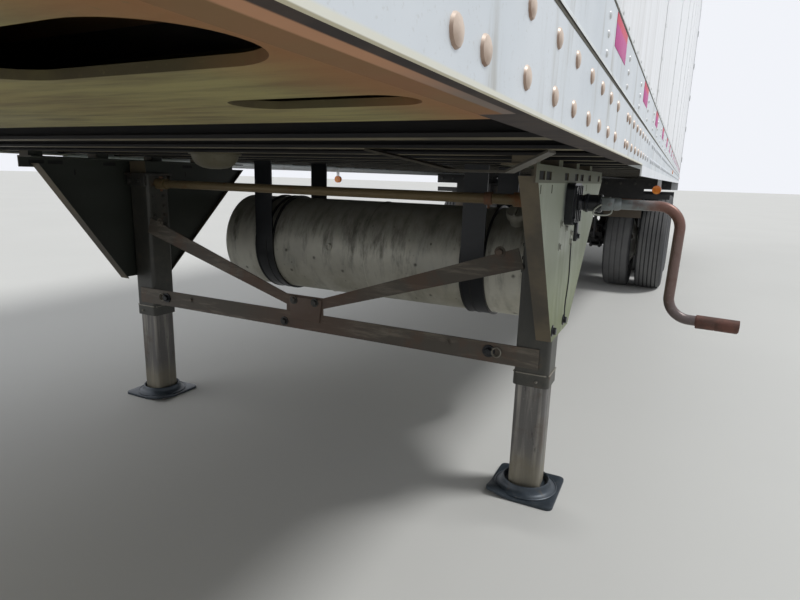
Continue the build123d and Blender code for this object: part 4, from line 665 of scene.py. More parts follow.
tape = {"length": 0.152, "height": 0.046, "thickness": 0.0007, "first": 0.2145, "pitch": 0.62, "count": 20,
        "middle": 0.152}
strip = block((tape["length"], tape["thickness"], tape["height"]),
              (tape["first"], wall["bandFace"] + tape["thickness"] / 2, tape["middle"]), 0.0002)
dress("railTape", inRow(strip, tape["count"], (-tape["pitch"], 0, 0)), "mill_aluminium",
      makeTape("railTape", (184, 44, 132), (196, 44, 70)), True)

looks["paleEdge"] = makeRailMetal("paleEdge", (226, 230, 230), (206, 208, 204), (176, 172, 160))
beads = {"length": 12.918, "middle": -5.622,
         "lines": (("railSealant", 1.295, 0.0805, 0.0845, 0.0006, "sealant"),  # face, low, high, stand, look
                   ("railBead", 1.295, 0.0845, 0.0885, 0.0018, "paleEdge"),
                   ("bandSealant", 1.294, 0.1765, 0.1795, 0.0006, "sealant"),
                   ("bandBead", 1.294, 0.1795, 0.183, 0.0016, "paleEdge"))}
for name, face, low, high, stand, look in beads["lines"]:
    size = (beads["length"], stand, high - low)
    line = block(size, (beads["middle"], face + stand / 2, (low + high) / 2), 0.0002)
    dress(name, line, "mill_aluminium", look, True)
print("rails, bands and wall rivets")


# landing gear: bolts, welds, rubbed edges and the near plate's fittings
gear = {"legX": -2.6535, "legY": 0.9925, "tube": 0.127, "wingFace": 1.068, "braceFace": -2.584,
        "shaftZ": -0.136,
        "wingBolts": ((-2.503, -0.201), (-2.707, -0.246), (-2.599, -0.221), (-2.702, -0.274),
                      (-2.504, -0.276)),
        "footBolts": ((-2.704, -0.563), (-2.514, -0.561)),
        "braceBolts": ((0.669, -0.681, 0.0085), (0.85, -0.319, 0.013))}
legX, legY, half = gear["legX"], gear["legY"], gear["tube"] / 2
wingFace, braceFace, shaftZ = gear["wingFace"], gear["braceFace"], gear["shaftZ"]
bolts = hexBolts((0, 1, 0), 0.0085, 0.008, [(x, wingFace, z) for x, z in gear["wingBolts"]])
dress("wingBolts", bolts, "wing_paint", "paleBolt", True)
bolts = hexBolts((0, 1, 0), 0.0125, 0.014, [(x, wingFace, z) for x, z in gear["footBolts"]])
dress("wingFootBolts", bolts, "wing_paint", "greasy_black", True)
tieWire = {"radius": 0.0021, "lift": 0.0018,
           "path": ((-2.7, 0.003, -0.281), (-2.722, 0, -0.318), (-2.74, 0, -0.4), (-2.731, 0, -0.453),
                    (-2.706, 0, -0.509), (-2.702, 0.003, -0.551))}
points = [(x, wingFace + tieWire["lift"] + off, z) for x, off, z in tieWire["path"]]
dress("tieWire", bentTube(points, tieWire["radius"]), "greasy_black")

bolt = hexBolt((legX + 0.03, legY - half - 0.0005, -0.15), (0, -1, 0), 0.007, 0.007)
pairs = inRow(copied(bolt, [(-0.06, 0, 0)]), 6, (0, 0, -0.047))
dress("legPairBolts", pairs, "leg_paint", "gearBolt", True)
pieces = [block((0.165, 0.15, 0.01), (legX, legY, -0.0905))]
pieces += [block((0.012, 0.12, 0.06), (legX + side, legY - 0.006, -0.118)) for side in (0.078, -0.078)]
pieces += hexBolts((1, 0, 0), 0.01, 0.01, [(legX + 0.084, legY + side, -0.122) for side in (-0.03, 0.03)])
dress("legTopPlates", pieces, "leg_paint", "gearBolt", True)
sides = (half + 0.001, -half - 0.001)  # weld bead over the collar and the nipple where the ram slides
pieces = [block((0.12, 0.006, 0.005), (legX, legY + side, -0.7525), 0.0022) for side in sides]
pieces += [block((0.006, 0.112, 0.005), (legX + side, legY, -0.7525), 0.0022) for side in sides]
pieces.append(dome((legX + half + 0.003, legY + 0.022, -0.778), (1, 0, 0), 0.0055, 0.009, 10))
dress("collarWelds", pieces, "leg_paint", "weld", True)

braceLook = makeBracePaint("braceWear", (80, 74, 66), (122, 114, 102), (94, 70, 56), (50, 46, 42))
repaint("leg_brace", braceLook)
bolts = [hexBolt((braceFace, y, z), (1, 0, 0), radius, radius * 0.9) for y, z, radius in gear["braceBolts"]]
dress("braceBolts", bolts, "leg_paint", braceLook, True)
knob = hexBolt((braceFace, 0.832, -0.69), (1, 0, 0), 0.015, 0.018)
dress("braceKnobs", knob, "leg_paint", "greasy_black", True)
rings = turned((braceFace, 0.862, -0.689), (1, 0, 0),
               [(0, 0.013), (0.002, 0.019), (0.007, 0.02), (0.01, 0.017), (0.004, 0.013)], 28, True)
dress("braceRings", rings, "leg_paint", "weld", True)
gusset = block((0.006, 0.172, 0.1), (braceFace + 0.003, 0.006, -0.6385), 0.0025)
pick(gusset, lambda middle, way: middle.z < -0.683)
bpy.ops.transform.resize(value=(1, 0.86, 1), center_override=(braceFace, 0.006, -0.6885))
bpy.ops.object.mode_set(mode="OBJECT")
dress("braceGusset", gusset, "leg_paint", "gusset")
bolts = hexBolts((1, 0, 0), 0.012, 0.01, [(braceFace + 0.006, y, -0.603) for y in (-0.052, 0.058)])
bolts.append(hexBolt((braceFace, -0.108, -0.707), (1, 0, 0), 0.013, 0.014))
dress("gussetBolts", bolts, "leg_paint", "gearBolt")

shaft = {"sleeve": 0.775, "pins": (-0.905, 0.905), "reach": 0.036}
y, low, high = shaft["sleeve"], shaftZ - shaft["reach"], shaftZ + shaft["reach"]
pieces = [turned((legX, y, shaftZ), (0, 1, 0),
                 [(-0.016, 0.0195), (-0.014, 0.0232), (0.014, 0.0232), (0.016, 0.0195)]),
          bar((legX, y, low), (legX, y, high - 0.012), 0.005, 10)]
for y in shaft["pins"]:
    pieces.append(bar((legX, y, low), (legX, y, high), 0.006, 10))
    pieces.append(turned((legX, y, shaftZ + 0.027), (0, 0, 1), [(0, 0.01), (0.008, 0.01)], 6))
dress("shaftSleeves", pieces, "shaft_steel", "rust")

# gearbox: cover bolts, the collars of its bearing and the lug of the gear lever
gearbox = {"face": 1.094, "boltX": (-2.68, -2.56), "boltZ": (-0.09, -0.19),
           "collars": ((1.116, 0.0315, 0.009), (1.156, 0.031, 0.01))}
places = [(x, gearbox["face"], z) for x in gearbox["boltX"] for z in gearbox["boltZ"]]
pieces = hexBolts((0, 1, 0), 0.007, 0.007, places)
for y, radius, end in gearbox["collars"]:
    pieces.append(turned((legX, y, shaftZ), (0, 1, 0),
                         [(0, 0.0285), (0.002, radius), (end, radius), (end + 0.002, 0.0285)], 28))
pieces.append(block((0.03, 0.012, 0.062), (legX + 0.046, 1.1, -0.232), 0.003))
pieces.append(hexBolt((legX + 0.046, 1.106, -0.246), (0, 1, 0), 0.008, 0.008))
dress("gearboxFittings", pieces, "greasy_black")
print("landing gear fittings")


# crank: a tube flattened at its fork end, with a pin, a bail of wire and a sleeve for the hand
def makeCrankPaint(name):
    paint = Paint(name)
    y, z = paint.axes()[1:]
    wear = paint.noise(16, 5, 0.65)
    fine = paint.noise(120, 3)
    grip = y.between(1.489, 1.493)
    base = paint.layers(
        (118, 124, 124),
        ((y + (wear - 0.5) * 0.06).between(1.285, 1.345), (116, 84, 74)),
        ((-z + (wear - 0.5) * 0.1).between(0.17, 0.26), (112, 92, 86)),
        ((-z + (wear - 0.5) * 0.06).between(0.4, 0.48), (96, 86, 84)),
        (wear.between(0.52, 0.66) * 0.5, (92, 62, 52)),
        (fine.between(0.6, 0.8) * 0.35, (164, 148, 140)),
        (grip, paint.layers((104, 70, 60), (wear.between(0.4, 0.65), (82, 60, 52)))))
    return paint.finish(base, 0.3 + wear * 0.2 + grip * 0.2, 0.45, wear * 0.5 + fine * 0.5, 0.3, 0.0006)


crank = {"fork": 0.0205, "pin": 1.186, "collar": 1.205, "sleeve": (1.494, -0.4995), "bailRadius": 0.0028,
         "bail": ((0.031, 1.172, -0.138), (0.033, 1.152, -0.15), (0.031, 1.146, -0.168),
                  (0.012, 1.15, -0.174), (-0.012, 1.186, -0.175), (-0.031, 1.199, -0.168),
                  (-0.033, 1.198, -0.15), (-0.031, 1.192, -0.138))}
crankLook = makeCrankPaint("crankWear")
repaint("crank", crankLook)
pieces = [block((0.007, 0.046, 0.04), (legX + side, crank["pin"], shaftZ), 0.003)
          for side in (crank["fork"], -crank["fork"])]
pinY = crank["pin"] + 0.006
pieces.append(bar((legX - 0.034, pinY, shaftZ), (legX + 0.034, pinY, shaftZ), 0.007, 14))
pieces.append(turned((legX, crank["collar"], shaftZ), (0, 1, 0),
                     [(0, 0.0168), (0.004, 0.0215), (0.018, 0.0205), (0.026, 0.0168)]))
dress("crankFork", pieces, "crank_steel", crankLook, body="crank")
bail = bentTube([(legX + x, y, z) for x, y, z in crank["bail"]], crank["bailRadius"], 6)
dress("crankBail", bail, "crank_steel", "paleBolt", body="crank")
sleeve = turned((legX, *crank["sleeve"]), (0, 1, -0.02),
                [(0, 0.0202), (0.0015, 0.0212), (0.052, 0.0208), (0.0535, 0.02), (0.0555, 0.02),
                 (0.057, 0.0208), (0.115, 0.0212), (0.119, 0.0206), (0.1205, 0.017)], 28)
dress("crankSleeve", sleeve, "crank_steel", crankLook, body="crank")
print("crank")


# rams and feet: streaked steel, dusty towards the ground, spun dish on a square pad with one curled corner
def makeRamSteel(name, colour, pale, brown, dusty):
    paint = Paint(name)
    streaks = paint.noise(34, 5, 0.6, (1, 1, 0.05))
    clouds = paint.noise(7, 5, 0.65)
    fine = paint.noise(160, 3)
    scars = paint.noise(17, 5, 0.75, (1, 1, 0.22), (3, 1, 2))
    low = (-paint.axes()[2] + (clouds - 0.5) * 0.16).between(1.02, 1.17)
    base = paint.layers(colour, (streaks.between(0.44, 0.66) * 0.75, pale),
                        (clouds.between(0.52, 0.68) * 0.5, brown),
                        (scars.between(0.6, 0.64) * 0.5, (44, 42, 42)),
                        (low * (0.35 + streaks * 0.6), dusty), (fine.between(0.6, 0.78) * 0.3, pale))
    return paint.finish(base, 0.42 + clouds * 0.2 + low * 0.2, 0.3, streaks * 0.7 + fine * 0.3, 0.22, 0.0007)


repaint("leg_rams", makeRamSteel("ramSteel", (98, 96, 94), (162, 158, 150), (88, 74, 60),
                                 (142, 136, 118)))
foot = {"size": 0.255, "thickness": 0.012, "corner": 0.022, "ground": -1.236, "curl": 0.013,
        "curls": ((0.1, 0.3), (0.072, 0.4), (0.046, 0.5))}  # reach from the corner, share of the curl
footPlace = (legX, legY, foot["ground"])
hold(None)
bpy.ops.mesh.primitive_grid_add(x_subdivisions=10, y_subdivisions=10, size=foot["size"], location=footPlace)
pad = settle(bpy.context.object)
side = foot["size"] / 2
pick(pad, lambda place, way: min(abs(place.x - legX), abs(place.y - legY)) > side - 0.001, "VERT")
bpy.ops.mesh.bevel(offset=foot["corner"], segments=4, affect="VERTICES")
cornerX, cornerY = legX + side, legY - side
for reach, lift in foot["curls"]:
    pick(pad, lambda place, way: (place.x - cornerX) ** 2 + (place.y - cornerY) ** 2 < reach ** 2, "VERT")
    bpy.ops.transform.translate(value=(-0.002 * lift, 0.002 * lift, foot["curl"] * lift))
finished(pad, "SOLIDIFY", thickness=foot["thickness"], offset=1)
finished(pad, "BEVEL", width=0.0012, segments=2, limit_method="ANGLE", angle_limit=1.0)
dish = turned(footPlace, (0, 0, 1),
              [(0.0115, 0.116), (0.015, 0.1145), (0.018, 0.104), (0.024, 0.0965), (0.035, 0.0915),
               (0.044, 0.0895), (0.047, 0.087), (0.0455, 0.0835), (0.036, 0.08), (0.0262, 0.0785)], 56)
bead = turned(footPlace, (0, 0, 1),
              [(0.0118, 0.1175), (0.015, 0.119), (0.017, 0.116), (0.0145, 0.114)], 56, True)
dress("legFootPads", [pad, dish, bead], "foot_paint", None, True, instead="leg_feet")

# fuel tank: weld seams, sender ring, filler neck and the straps' edges and draw bolts
tank = {"x": -3.2985, "z": -0.453, "radius": 0.254, "seams": (-0.862, 0.862, 0.02), "strap": 0.59,
        "strapHalf": 0.055, "sender": (-0.182, -0.43), "senderBolts": 5, "filler": 0.76}


def circled(centre, radius, count, start=0.0):  # places round a circle, first one at start degrees
    angles = [math.radians(360 * k / count + start) for k in range(count)]
    return [(centre[0] + radius * math.sin(angle), centre[1] + radius * math.cos(angle)) for angle in angles]


def hoop(vessel, y, profile, sides=72):  # a ring round a lying tank, profile: place along it, rise over it
    rises = [(along, vessel["radius"] + rise) for along, rise in profile]
    return turned((vessel["x"], y, vessel["z"]), (0, 1, 0), rises, sides, True)


seamProfile = [(-0.006, -0.0005), (-0.003, 0.0022), (0.003, 0.0022), (0.006, -0.0005)]
pieces = [hoop(tank, y, seamProfile) for y in tank["seams"]]
senderY, senderZ = tank["sender"]
pieces.append(turned((tank["x"] + 0.2515, senderY, senderZ), (1, 0, 0.09),
                     [(0, 0.02), (0.004, 0.021), (0.007, 0.019), (0.007, 0.012), (0.003, 0.011)], 24, True))
places = circled((senderZ, senderY), 0.016, tank["senderBolts"], 10)
pieces += hexBolts((1, 0, 0), 0.0025, 0.003, [(tank["x"] + 0.2545, y, z) for z, y in places])
pieces.append(turned((tank["x"] + 0.15, tank["filler"], tank["z"] + 0.196), (0.6, 0, 0.8),
                     [(0, 0.034), (0.04, 0.034), (0.042, 0.044), (0.047, 0.046), (0.07, 0.045),
                      (0.074, 0.041)], 28))
pieces.append(block((0.074, 0.012, 0.01), (tank["x"] + 0.1975, tank["filler"], tank["z"] + 0.2555), 0.002,
                    (0, math.radians(37), 0)))
pieces.append(turned((tank["x"], -0.3, tank["z"] - 0.262), (0, 0, 1), [(0, 0.014), (0.012, 0.015)], 6))
dress("tankFittings", pieces, "tank_aluminium")
hoops = ((-tank["strapHalf"], 0.0112), (tank["strapHalf"], 0.0112), (-0.012, 0.01))  # two edges and a rib
pieces = [hoop(tank, tank["strap"] + off, [(-0.004, 0.0005), (-0.004, rise), (0.004, rise), (0.004, 0.0005)])
          for off, rise in hoops]
boltX = tank["x"] - 0.278
pieces.append(bar((boltX, tank["strap"], -0.3), (boltX, tank["strap"], -0.16), 0.007, 12))
dress("strapFittings", pieces, "greasy_black", "strap", True)

repaint("sag_strap", looks["bentStrap"])
bowl = turned((-2.161, -0.066, 0), (0, 0, 1),
              [(-0.006, 0.088), (-0.011, 0.088), (-0.012, 0.08), (-0.03, 0.075), (-0.046, 0.062),
               (-0.056, 0.042), (-0.06, 0.016)], 40)
dress("drainBowl", bowl, "coupler_paint", "bowl", instead="drain_bowl")


# coupler: the pale rusty strip along its edges and the weld round the kingpin
def makeEdgeRust(name, orange, grey):
    paint = Paint(name)
    clouds = paint.noise(9, 5, 0.6)
    fine = paint.noise(120, 3)
    base = paint.layers(orange, ((-paint.axes()[0] + (clouds - 0.5) * 0.4).between(0.75, 1.2), grey),
                        (clouds.between(0.5, 0.7) * 0.5, (112, 84, 66)),
                        (fine.between(0.6, 0.8) * 0.4, (84, 70, 60)))
    return paint.finish(base, 0.62 + clouds * 0.2, 0.0, clouds * 0.5 + fine * 0.5, 0.35, 0.001)


couplerEdge = {"front": 0.905, "rear": -1.28, "y": 1.23, "width": 0.014, "thickness": 0.0035}
front, rear, thickness = couplerEdge["front"], couplerEdge["rear"], couplerEdge["thickness"]
strip = block((front - rear, couplerEdge["width"], thickness),
              ((front + rear) / 2, couplerEdge["y"], -thickness / 2), 0.0012)
dress("couplerEdges", strip, "coupler_paint",
      makeEdgeRust("couplerEdgeRust", (190, 142, 108), (134, 118, 108)), True)
weld = turned((0, 0, 0), (0, 0, -1),
              [(0, 0.046), (0.003, 0.0465), (0.007, 0.042), (0.0095, 0.037), (0, 0.036)], 40, True)
dress("kingpinWeld", weld, "worn_steel", "weld")
print("feet, fuel tank and coupler")


# tyres: ribbed treads, five grooves outside and three worn ones inside
tyre = {"axleX": -7.7, "axleZ": -0.721, "spacing": -1.245, "radius": 0.514, "grooveHalf": 0.0045,
        "outer": (1.154, (-0.082, -0.042, 0.0, 0.042, 0.082), 0.013),  # y of its middle, grooves, their depth
        "inner": (0.811, (-0.056, 0.0, 0.056), 0.006)}
wheelX, wheelZ = tyre["axleX"], tyre["axleZ"]


def makeTyreRubber(name, colour, dusty, brown):
    paint = Paint(name)
    x, z = paint.axes()[::2]
    ahead = (x - wheelX).absolute().smallest((x - (wheelX + tyre["spacing"])).absolute())
    above = z - wheelZ
    radius = (ahead * ahead + above * above) ** 0.5
    clouds = paint.noise(9, 5, 0.6)
    grit = paint.noise(140, 3)
    base = paint.layers(colour, (clouds.between(0.4, 0.65) * 0.5, dusty),
                        (radius.between(0.5, 0.511) * (0.45 + clouds * 0.4), (108, 108, 108)),
                        (radius.within(0.487, 0.503) * radius.between(0.48, 0.487) * 0.7, (28, 28, 29)),
                        (grit.between(0.58, 0.75) * 0.35, brown))
    rings = (radius * 620).sine() * radius.within(0.46, 0.47) * 0.3
    return paint.finish(base, 0.6 + clouds * 0.25, 0.0, grit * 0.5 + rings + clouds * 0.2, 0.3, 0.001)


def makeTyre(y, grooves, depth):
    crown, half = tyre["radius"], tyre["grooveHalf"]
    sidewall = [(-0.096, 0.294), (-0.108, 0.3), (-0.121, 0.318), (-0.13, 0.35), (-0.1335, 0.352),
                (-0.1375, 0.385), (-0.14, 0.412), (-0.1385, 0.44), (-0.135, 0.462), (-0.1365, 0.466),
                (-0.132, 0.482), (-0.124, 0.499), (-0.115, crown - 0.006)]
    tread = []
    for along in grooves:
        rise = crown - 0.9 * along ** 2 * 0.35
        tread += [(along - half - 0.001, rise), (along - half + 0.001, crown - depth),
                  (along + half - 0.001, crown - depth), (along + half + 0.001, rise)]
    farSide = [(-along, radius) for along, radius in reversed(sidewall)]
    return turned((wheelX, y, wheelZ), (0, 1, 0), sidewall + tread + farSide, 88, True)


tyreLook = makeTyreRubber("tyreTread", (54, 55, 58), (84, 83, 80), (112, 104, 88))
tyres = joined([makeTyre(*tyre["outer"]), makeTyre(*tyre["inner"])])
corners = (("front_left", 0.0, None), ("front_right", 0.0, 0.0), ("rear_left", tyre["spacing"], None),
           ("rear_right", tyre["spacing"], 0.0))
for corner, x, flip in corners:
    dress("tyrePair_" + corner, twin(tyres, (x, 0, 0), flip), "tyre_rubber", tyreLook,
          body="wheels_" + corner, instead="tyres_" + corner)
bpy.data.objects.remove(tyres)
print("tyres")

# wheels: dished discs with hand holes, nuts on their studs, hub with its cap, finned drum
wheel = {"centre": 0.9825, "stud": 0.1425, "studs": 10, "handHole": 0.029, "handCircle": 0.214,
         "handHoles": 5, "capBolt": 0.086, "capBolts": 6, "fins": 6, "finPitch": 0.024}
wheelPlace = (wheelX, wheel["centre"], wheelZ)
disc = turned(wheelPlace, (0, 1, 0),
              [(0, 0.1), (0, 0.15), (0.058, 0.258), (0.06, 0.28), (0.0575, 0.3), (0.0765, 0.2925),
               (0.11, 0.2925), (0.118, 0.284), (0.225, 0.284), (0.233, 0.2925), (0.2665, 0.2925),
               (0.2855, 0.3), (0.2835, 0.283), (0.262, 0.278), (0.232, 0.2705), (0.09, 0.2705),
               (0.074, 0.258), (0.017, 0.158), (0.013, 0.15), (0.013, 0.1)], 60, True)
places = circled((wheelX, wheelZ), wheel["handCircle"], wheel["handHoles"])
hole = [(0, wheel["handHole"]), (0.2, wheel["handHole"])]
cutter = joined([turned((x, wheel["centre"] - 0.05, z), (0, 1, 0), hole, 18) for x, z in places])
finished(disc, "BOOLEAN", operation="DIFFERENCE", solver="EXACT", object=cutter)
bpy.data.objects.remove(cutter)
rims = joined([disc, twin(disc, flip=wheel["centre"])])

pieces = [turned(wheelPlace, (0, 1, 0),
                 [(-0.15, 0.088), (-0.145, 0.096), (-0.04, 0.098), (-0.036, 0.13), (0, 0.13),
                  (0.013, 0.102), (0.03, 0.1), (0.085, 0.088), (0.098, 0.088), (0.1, 0.094),
                  (0.11, 0.094), (0.112, 0.078), (0.124, 0.07), (0.129, 0.05), (0.13, 0.02)], 40)]
places = circled((wheelX, wheelZ), wheel["capBolt"], wheel["capBolts"])
pieces += hexBolts((0, 1, 0), 0.005, 0.005, [(x, wheel["centre"] + 0.11, z) for x, z in places])
for x, z in circled((wheelX, wheelZ), wheel["stud"], wheel["studs"], 18):
    pieces.append(turned((x, wheel["centre"] + 0.013, z), (0, 1, 0),
                         [(0, 0.021), (0.005, 0.0185), (0.024, 0.0185), (0.027, 0.015)], 6))
    pieces.append(bar((x, wheel["centre"] + 0.026, z), (x, wheel["centre"] + 0.046, z), 0.0105, 10))
hubs = joined(pieces)
profile = [(-0.215, 0.19), (-0.215, 0.207)]
for k in range(wheel["fins"]):
    fin = k * wheel["finPitch"] - 0.205
    profile += [(fin, 0.207), (fin + 0.002, 0.214), (fin + 0.008, 0.214), (fin + 0.01, 0.207)]
profile += [(-0.04, 0.205), (-0.034, 0.185), (-0.034, 0.1), (-0.05, 0.1), (-0.052, 0.18),
            (-0.06, 0.19)]
drum = turned(wheelPlace, (0, 1, 0), profile, 56, True)
sources = ((rims, "wheelRims_", None), (hubs, "wheelHubs_", "hub"), (drum, "brakeDrums_", "drum"))
for corner, x, flip in corners:
    for source, name, look in sources:
        dress(name + corner, twin(source, (x, 0, 0), flip), "wheel_white", look, body="wheels_" + corner,
              instead="wheels_" + corner)
for source in (rims, hubs, drum):
    bpy.data.objects.remove(source)
print("wheels")


# slots of the leg rails and wings, closed from behind by near-black sheets that paint the shade inside them
pieces = [block((1.24, 0.0012, 0.027), (legX - 0.052, wingFace + 0.0008, -0.053), 0.0003)]
pieces += [block((0.013, 0.0016, 0.028), (legX + x, wingFace - 0.0025, -0.09), 0.0003)
           for x in (0.48, 0.335, -0.305)]
dress("slotShadeSheets", pieces, "wing_paint", makeRubber("paintedSlotShade", (16, 17, 17), (30, 30, 29)), True)


# nose: seal, screws, bezel, hinges and small louvres of the cooling unit, rivets round the front wall
def frameOf(x, thickness, low, high, width):  # four flat bars round an opening, low and high are (y, z)
    middleY, middleZ = (low[0] + high[0]) / 2, (low[1] + high[1]) / 2
    bars = [block((thickness, high[0] - low[0], width), (x, middleY, z), thickness * 0.3)
            for z in (low[1] + width / 2, high[1] - width / 2)]
    bars += [block((thickness, width, high[1] - low[1] - 2 * width), (x, y, middleZ), thickness * 0.3)
             for y in (low[0] + width / 2, high[0] - width / 2)]
    return joined(bars)


looks["seal"] = makeRubber("sealRubber", (24, 24, 25), (48, 48, 46))
unit = {"wall": 0.914, "front": 1.374, "seal": (1.018, 0.712, 2.708), "grille": (0.85, 2.000, 2.47),
        "hinge": (1.3915, 0.932), "hinges": (1.02, 1.435, 1.85), "display": (0.6, 2.548)}
front = unit["front"]
side, low, high = unit["seal"]
seal = frameOf(unit["wall"] + 0.003, 0.006, (-side, low), (side, high), 0.022)
dress("unitSeal", seal, "unit_white", "seal")
side, low, high = unit["grille"]
bezel = frameOf(front + 0.001, 0.006, (-side, low), (side, high), 0.024)
dress("grilleBezel", bezel, "unit_white", "seal")
rivetRows("unitScrews", "unit_white", (front, -0.955, 0.79), (0.006, 0.003, 8), [(15, (0, 0, 0.13))],
          [(0, 1.91, 0)], (1, 0, 0), False)
rivetRows("unitTopScrews", "unit_white", (front, -0.84, 2.6), (0.006, 0.003, 8), [(15, (0, 0.12, 0))], (),
          (1, 0, 0), False)
pieces = [bar((*unit["hinge"], z - 0.035), (*unit["hinge"], z + 0.035), 0.0062, 12) for z in unit["hinges"]]
dress("unitHinges", pieces, "plated_steel", None, True)
louvre = block((0.007, 1.5, 0.012), (front + 0.002, 0, 0.772), 0.0015, (0, 0.5, 0))
dress("unitLouvres", inRow(louvre, 5, (0, 0, 0.026)), "unit_white", "seal")
displayY, displayZ = unit["display"]
panel = block((0.01, 0.22, 0.08), (front + 0.004, displayY, displayZ), 0.003)
dress("unitDisplay", panel, "greasy_black")
places = [(front + 0.009, displayY - 0.05 + 0.035 * k, displayZ) for k in range(3)]
dress("unitLights", [dome(place, (1, 0, 0), 0.009, 0.005, 14) for place in places], "amber_lens")
rivetRows("noseRivets", "white_panel", (unit["wall"], 1.205, 0.26), (0.005, 0.0024, 8),
          [(25, (0, 0, 0.1))], (), (1, 0, 0))
rivetRows("noseRivets", "white_panel", (unit["wall"], -1.15, 0.225), (0.005, 0.0024, 8),
          [(24, (0, 0.1, 0))], [(0, 0, 2.525)], (1, 0, 0), False)
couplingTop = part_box("nose_couplings")[1][0]
pieces = [turned((couplingTop - 0.002, y, 0.42), (1, 0, 0),
                 [(0, 0.013), (0, 0.026), (0.006, 0.025), (0.008, 0.02), (0.004, 0.013)], 28, True)
          for y in (-0.16, 0.16)]
dress("couplingSeals", pieces, "plated_steel", "seal")
print("nose")

# rear: door seals, rivets, bolts on hinges and keepers, lamp rims, bumpers, blank plate and striped guard
doors = {"outer": -12.2, "inner": -12.124, "low": (0.005, 0.209), "high": (1.201, 2.631),
         "hinges": (0.368, 0.894, 1.42, 1.946, 2.472), "hingeBolts": (1.03, 1.095, 1.16),
         "rods": (0.33, 0.9), "keepers": (0.298, 0.748, 4)}  # keepers: first height, step, count
outer = doors["outer"]
seals = joined([frameOf(outer - 0.001, 0.005, doors["low"], doors["high"], 0.016),
                frameOf(doors["inner"] + 0.001, 0.005, doors["low"], doors["high"], 0.034)])
rivets = copied(dome((outer, 0.042, 0.262), (-1, 0, 0), 0.0045, 0.002, 8), [(0, 1.112, 0), (0, 0.56, 0)])
inRow(rivets, 24, (0, 0, 0.1016))
places = [(outer - 0.008, y, z) for z in doors["hinges"] for y in doors["hingeBolts"]]
bolts = hexBolts((-1, 0, 0), 0.008, 0.006, places)
low, step, count = doors["keepers"]
places = [(outer - 0.02, rod + y, low + step * k) for k in range(count) for rod in doors["rods"]
          for y in (-0.025, 0.025)]
bolts = joined(bolts + hexBolts((-1, 0, 0), 0.006, 0.005, places))
sources = ((seals, "doorSeals_", "white_panel", "seal"), (rivets, "doorRivets_", "white_panel", "smallRivet"),
           (bolts, "doorBolts_", "plated_steel", None))
for side, flip in (("left", None), ("right", 0.0)):
    for source, name, slotName, look in sources:
        dress(name + side, twin(source, flip=flip), slotName, look, body="door_" + side)
for source in (seals, rivets, bolts):
    bpy.data.objects.remove(source)

tail = {"face": -12.192, "lampZ": -0.025, "lampY": (1.000, 1.13), "bumper": (0.64, -0.1),
        "plate": (0.25, -0.088)}
face = tail["face"]
pieces = [turned((face, y, tail["lampZ"]), (-1, 0, 0),
                 [(0, 0.0505), (0, 0.061), (0.007, 0.0595), (0.009, 0.055), (0.009, 0.0508)], 36, True)
          for y in tail["lampY"]]
dress("lampRims", pieces, "bright_frame", "seal", True)
y, z = tail["bumper"]
pieces = [block((0.036, 0.21, 0.105), (face - 0.017, y, z), 0.01, segments=4)]
pieces += hexBolts((-1, 0, 0), 0.01, 0.005, [(face - 0.034, y + off, z) for off in (-0.065, 0.065)])
dress("dockBumpers", pieces, "bright_frame", "seal", True)
y, z = tail["plate"]
dress("blankPlate", block((0.003, 0.305, 0.155), (face - 0.0015, y, z), 0.001), "bright_frame")
pieces = [dome((face - 0.003, y + right, z + up), (-1, 0, 0), 0.006, 0.003, 10)
          for right in (-0.09, 0.09) for up in (-0.062, 0.062)]
pieces.append(block((0.022, 0.07, 0.022), (face - 0.01, y, 0.014), 0.005))
dress("plateFixings", pieces, "plated_steel")
bolts = hexBolt((face, -0.52, 0.15), (-1, 0, 0), 0.009, 0.006)
dress("tailFrameBolts", inRow(bolts, 9, (0, 0.13, 0)), "bright_frame", "paleBolt")


def makeStripe(name, colour):
    paint = Paint(name)
    cells = paint.cells(380)
    worn = paint.noise(24, 5, 0.65)
    base = paint.layers(colour, (cells.between(0.35, 0.6) * 0.1, (220, 200, 200)),
                        (worn.between(0.58, 0.72) * 0.5, (96, 90, 84)))
    return paint.finish(base, 0.4 + worn * 0.2, 0.0, cells, 0.2, 0.0004)


stripes = (("guardRedStripes", -1.085, 8, (168, 30, 34)), ("guardWhiteStripes", -0.93, 7, (214, 214, 210)))
for name, first, count, colour in stripes:
    stripe = block((0.0008, 0.15, 0.05), (-12.1824, first, -0.65), 0.0003)
    dress(name, inRow(stripe, count, (0, 0.31, 0)), "chassis_paint", makeStripe(name, colour))
print("rear")

# running gear: bolts, nuts, seams of the air tank, release handle of the slide and the guards' fittings
bogie = {"axles": (-7.7, -8.945), "spring": 0.535, "uBolt": (0.058, 0.048, -0.8), "hangerFace": 0.581,
         "hangers": (-7.14, -8.3225, -9.505), "hangerRows": (-0.31, -0.35), "frameFace": 0.573,
         "frameBolts": (-6.76, -6.86, -8.1, -8.2, -9.56, -9.64)}
along, across, z = bogie["uBolt"]
nut = [(0, 0.017), (0.012, 0.017), (0.014, 0.014)]
pieces = [turned((axleX + x, bogie["spring"] + y, z), (0, 0, -1), nut, 6)
          for axleX in bogie["axles"] for x in (-along, along) for y in (-across, across)]
pieces += hexBolts((0, 1, 0), 0.01, 0.008, [(x + step, bogie["hangerFace"], z) for x in bogie["hangers"]
                                             for z in bogie["hangerRows"] for step in (-0.032, 0.032)])
pieces += hexBolts((0, 1, 0), 0.012, 0.009, [(x, bogie["frameFace"], -0.2) for x in bogie["frameBolts"]])
dress("bogieBolts", pieces, "chassis_paint", "gearBolt", True, "bogie")

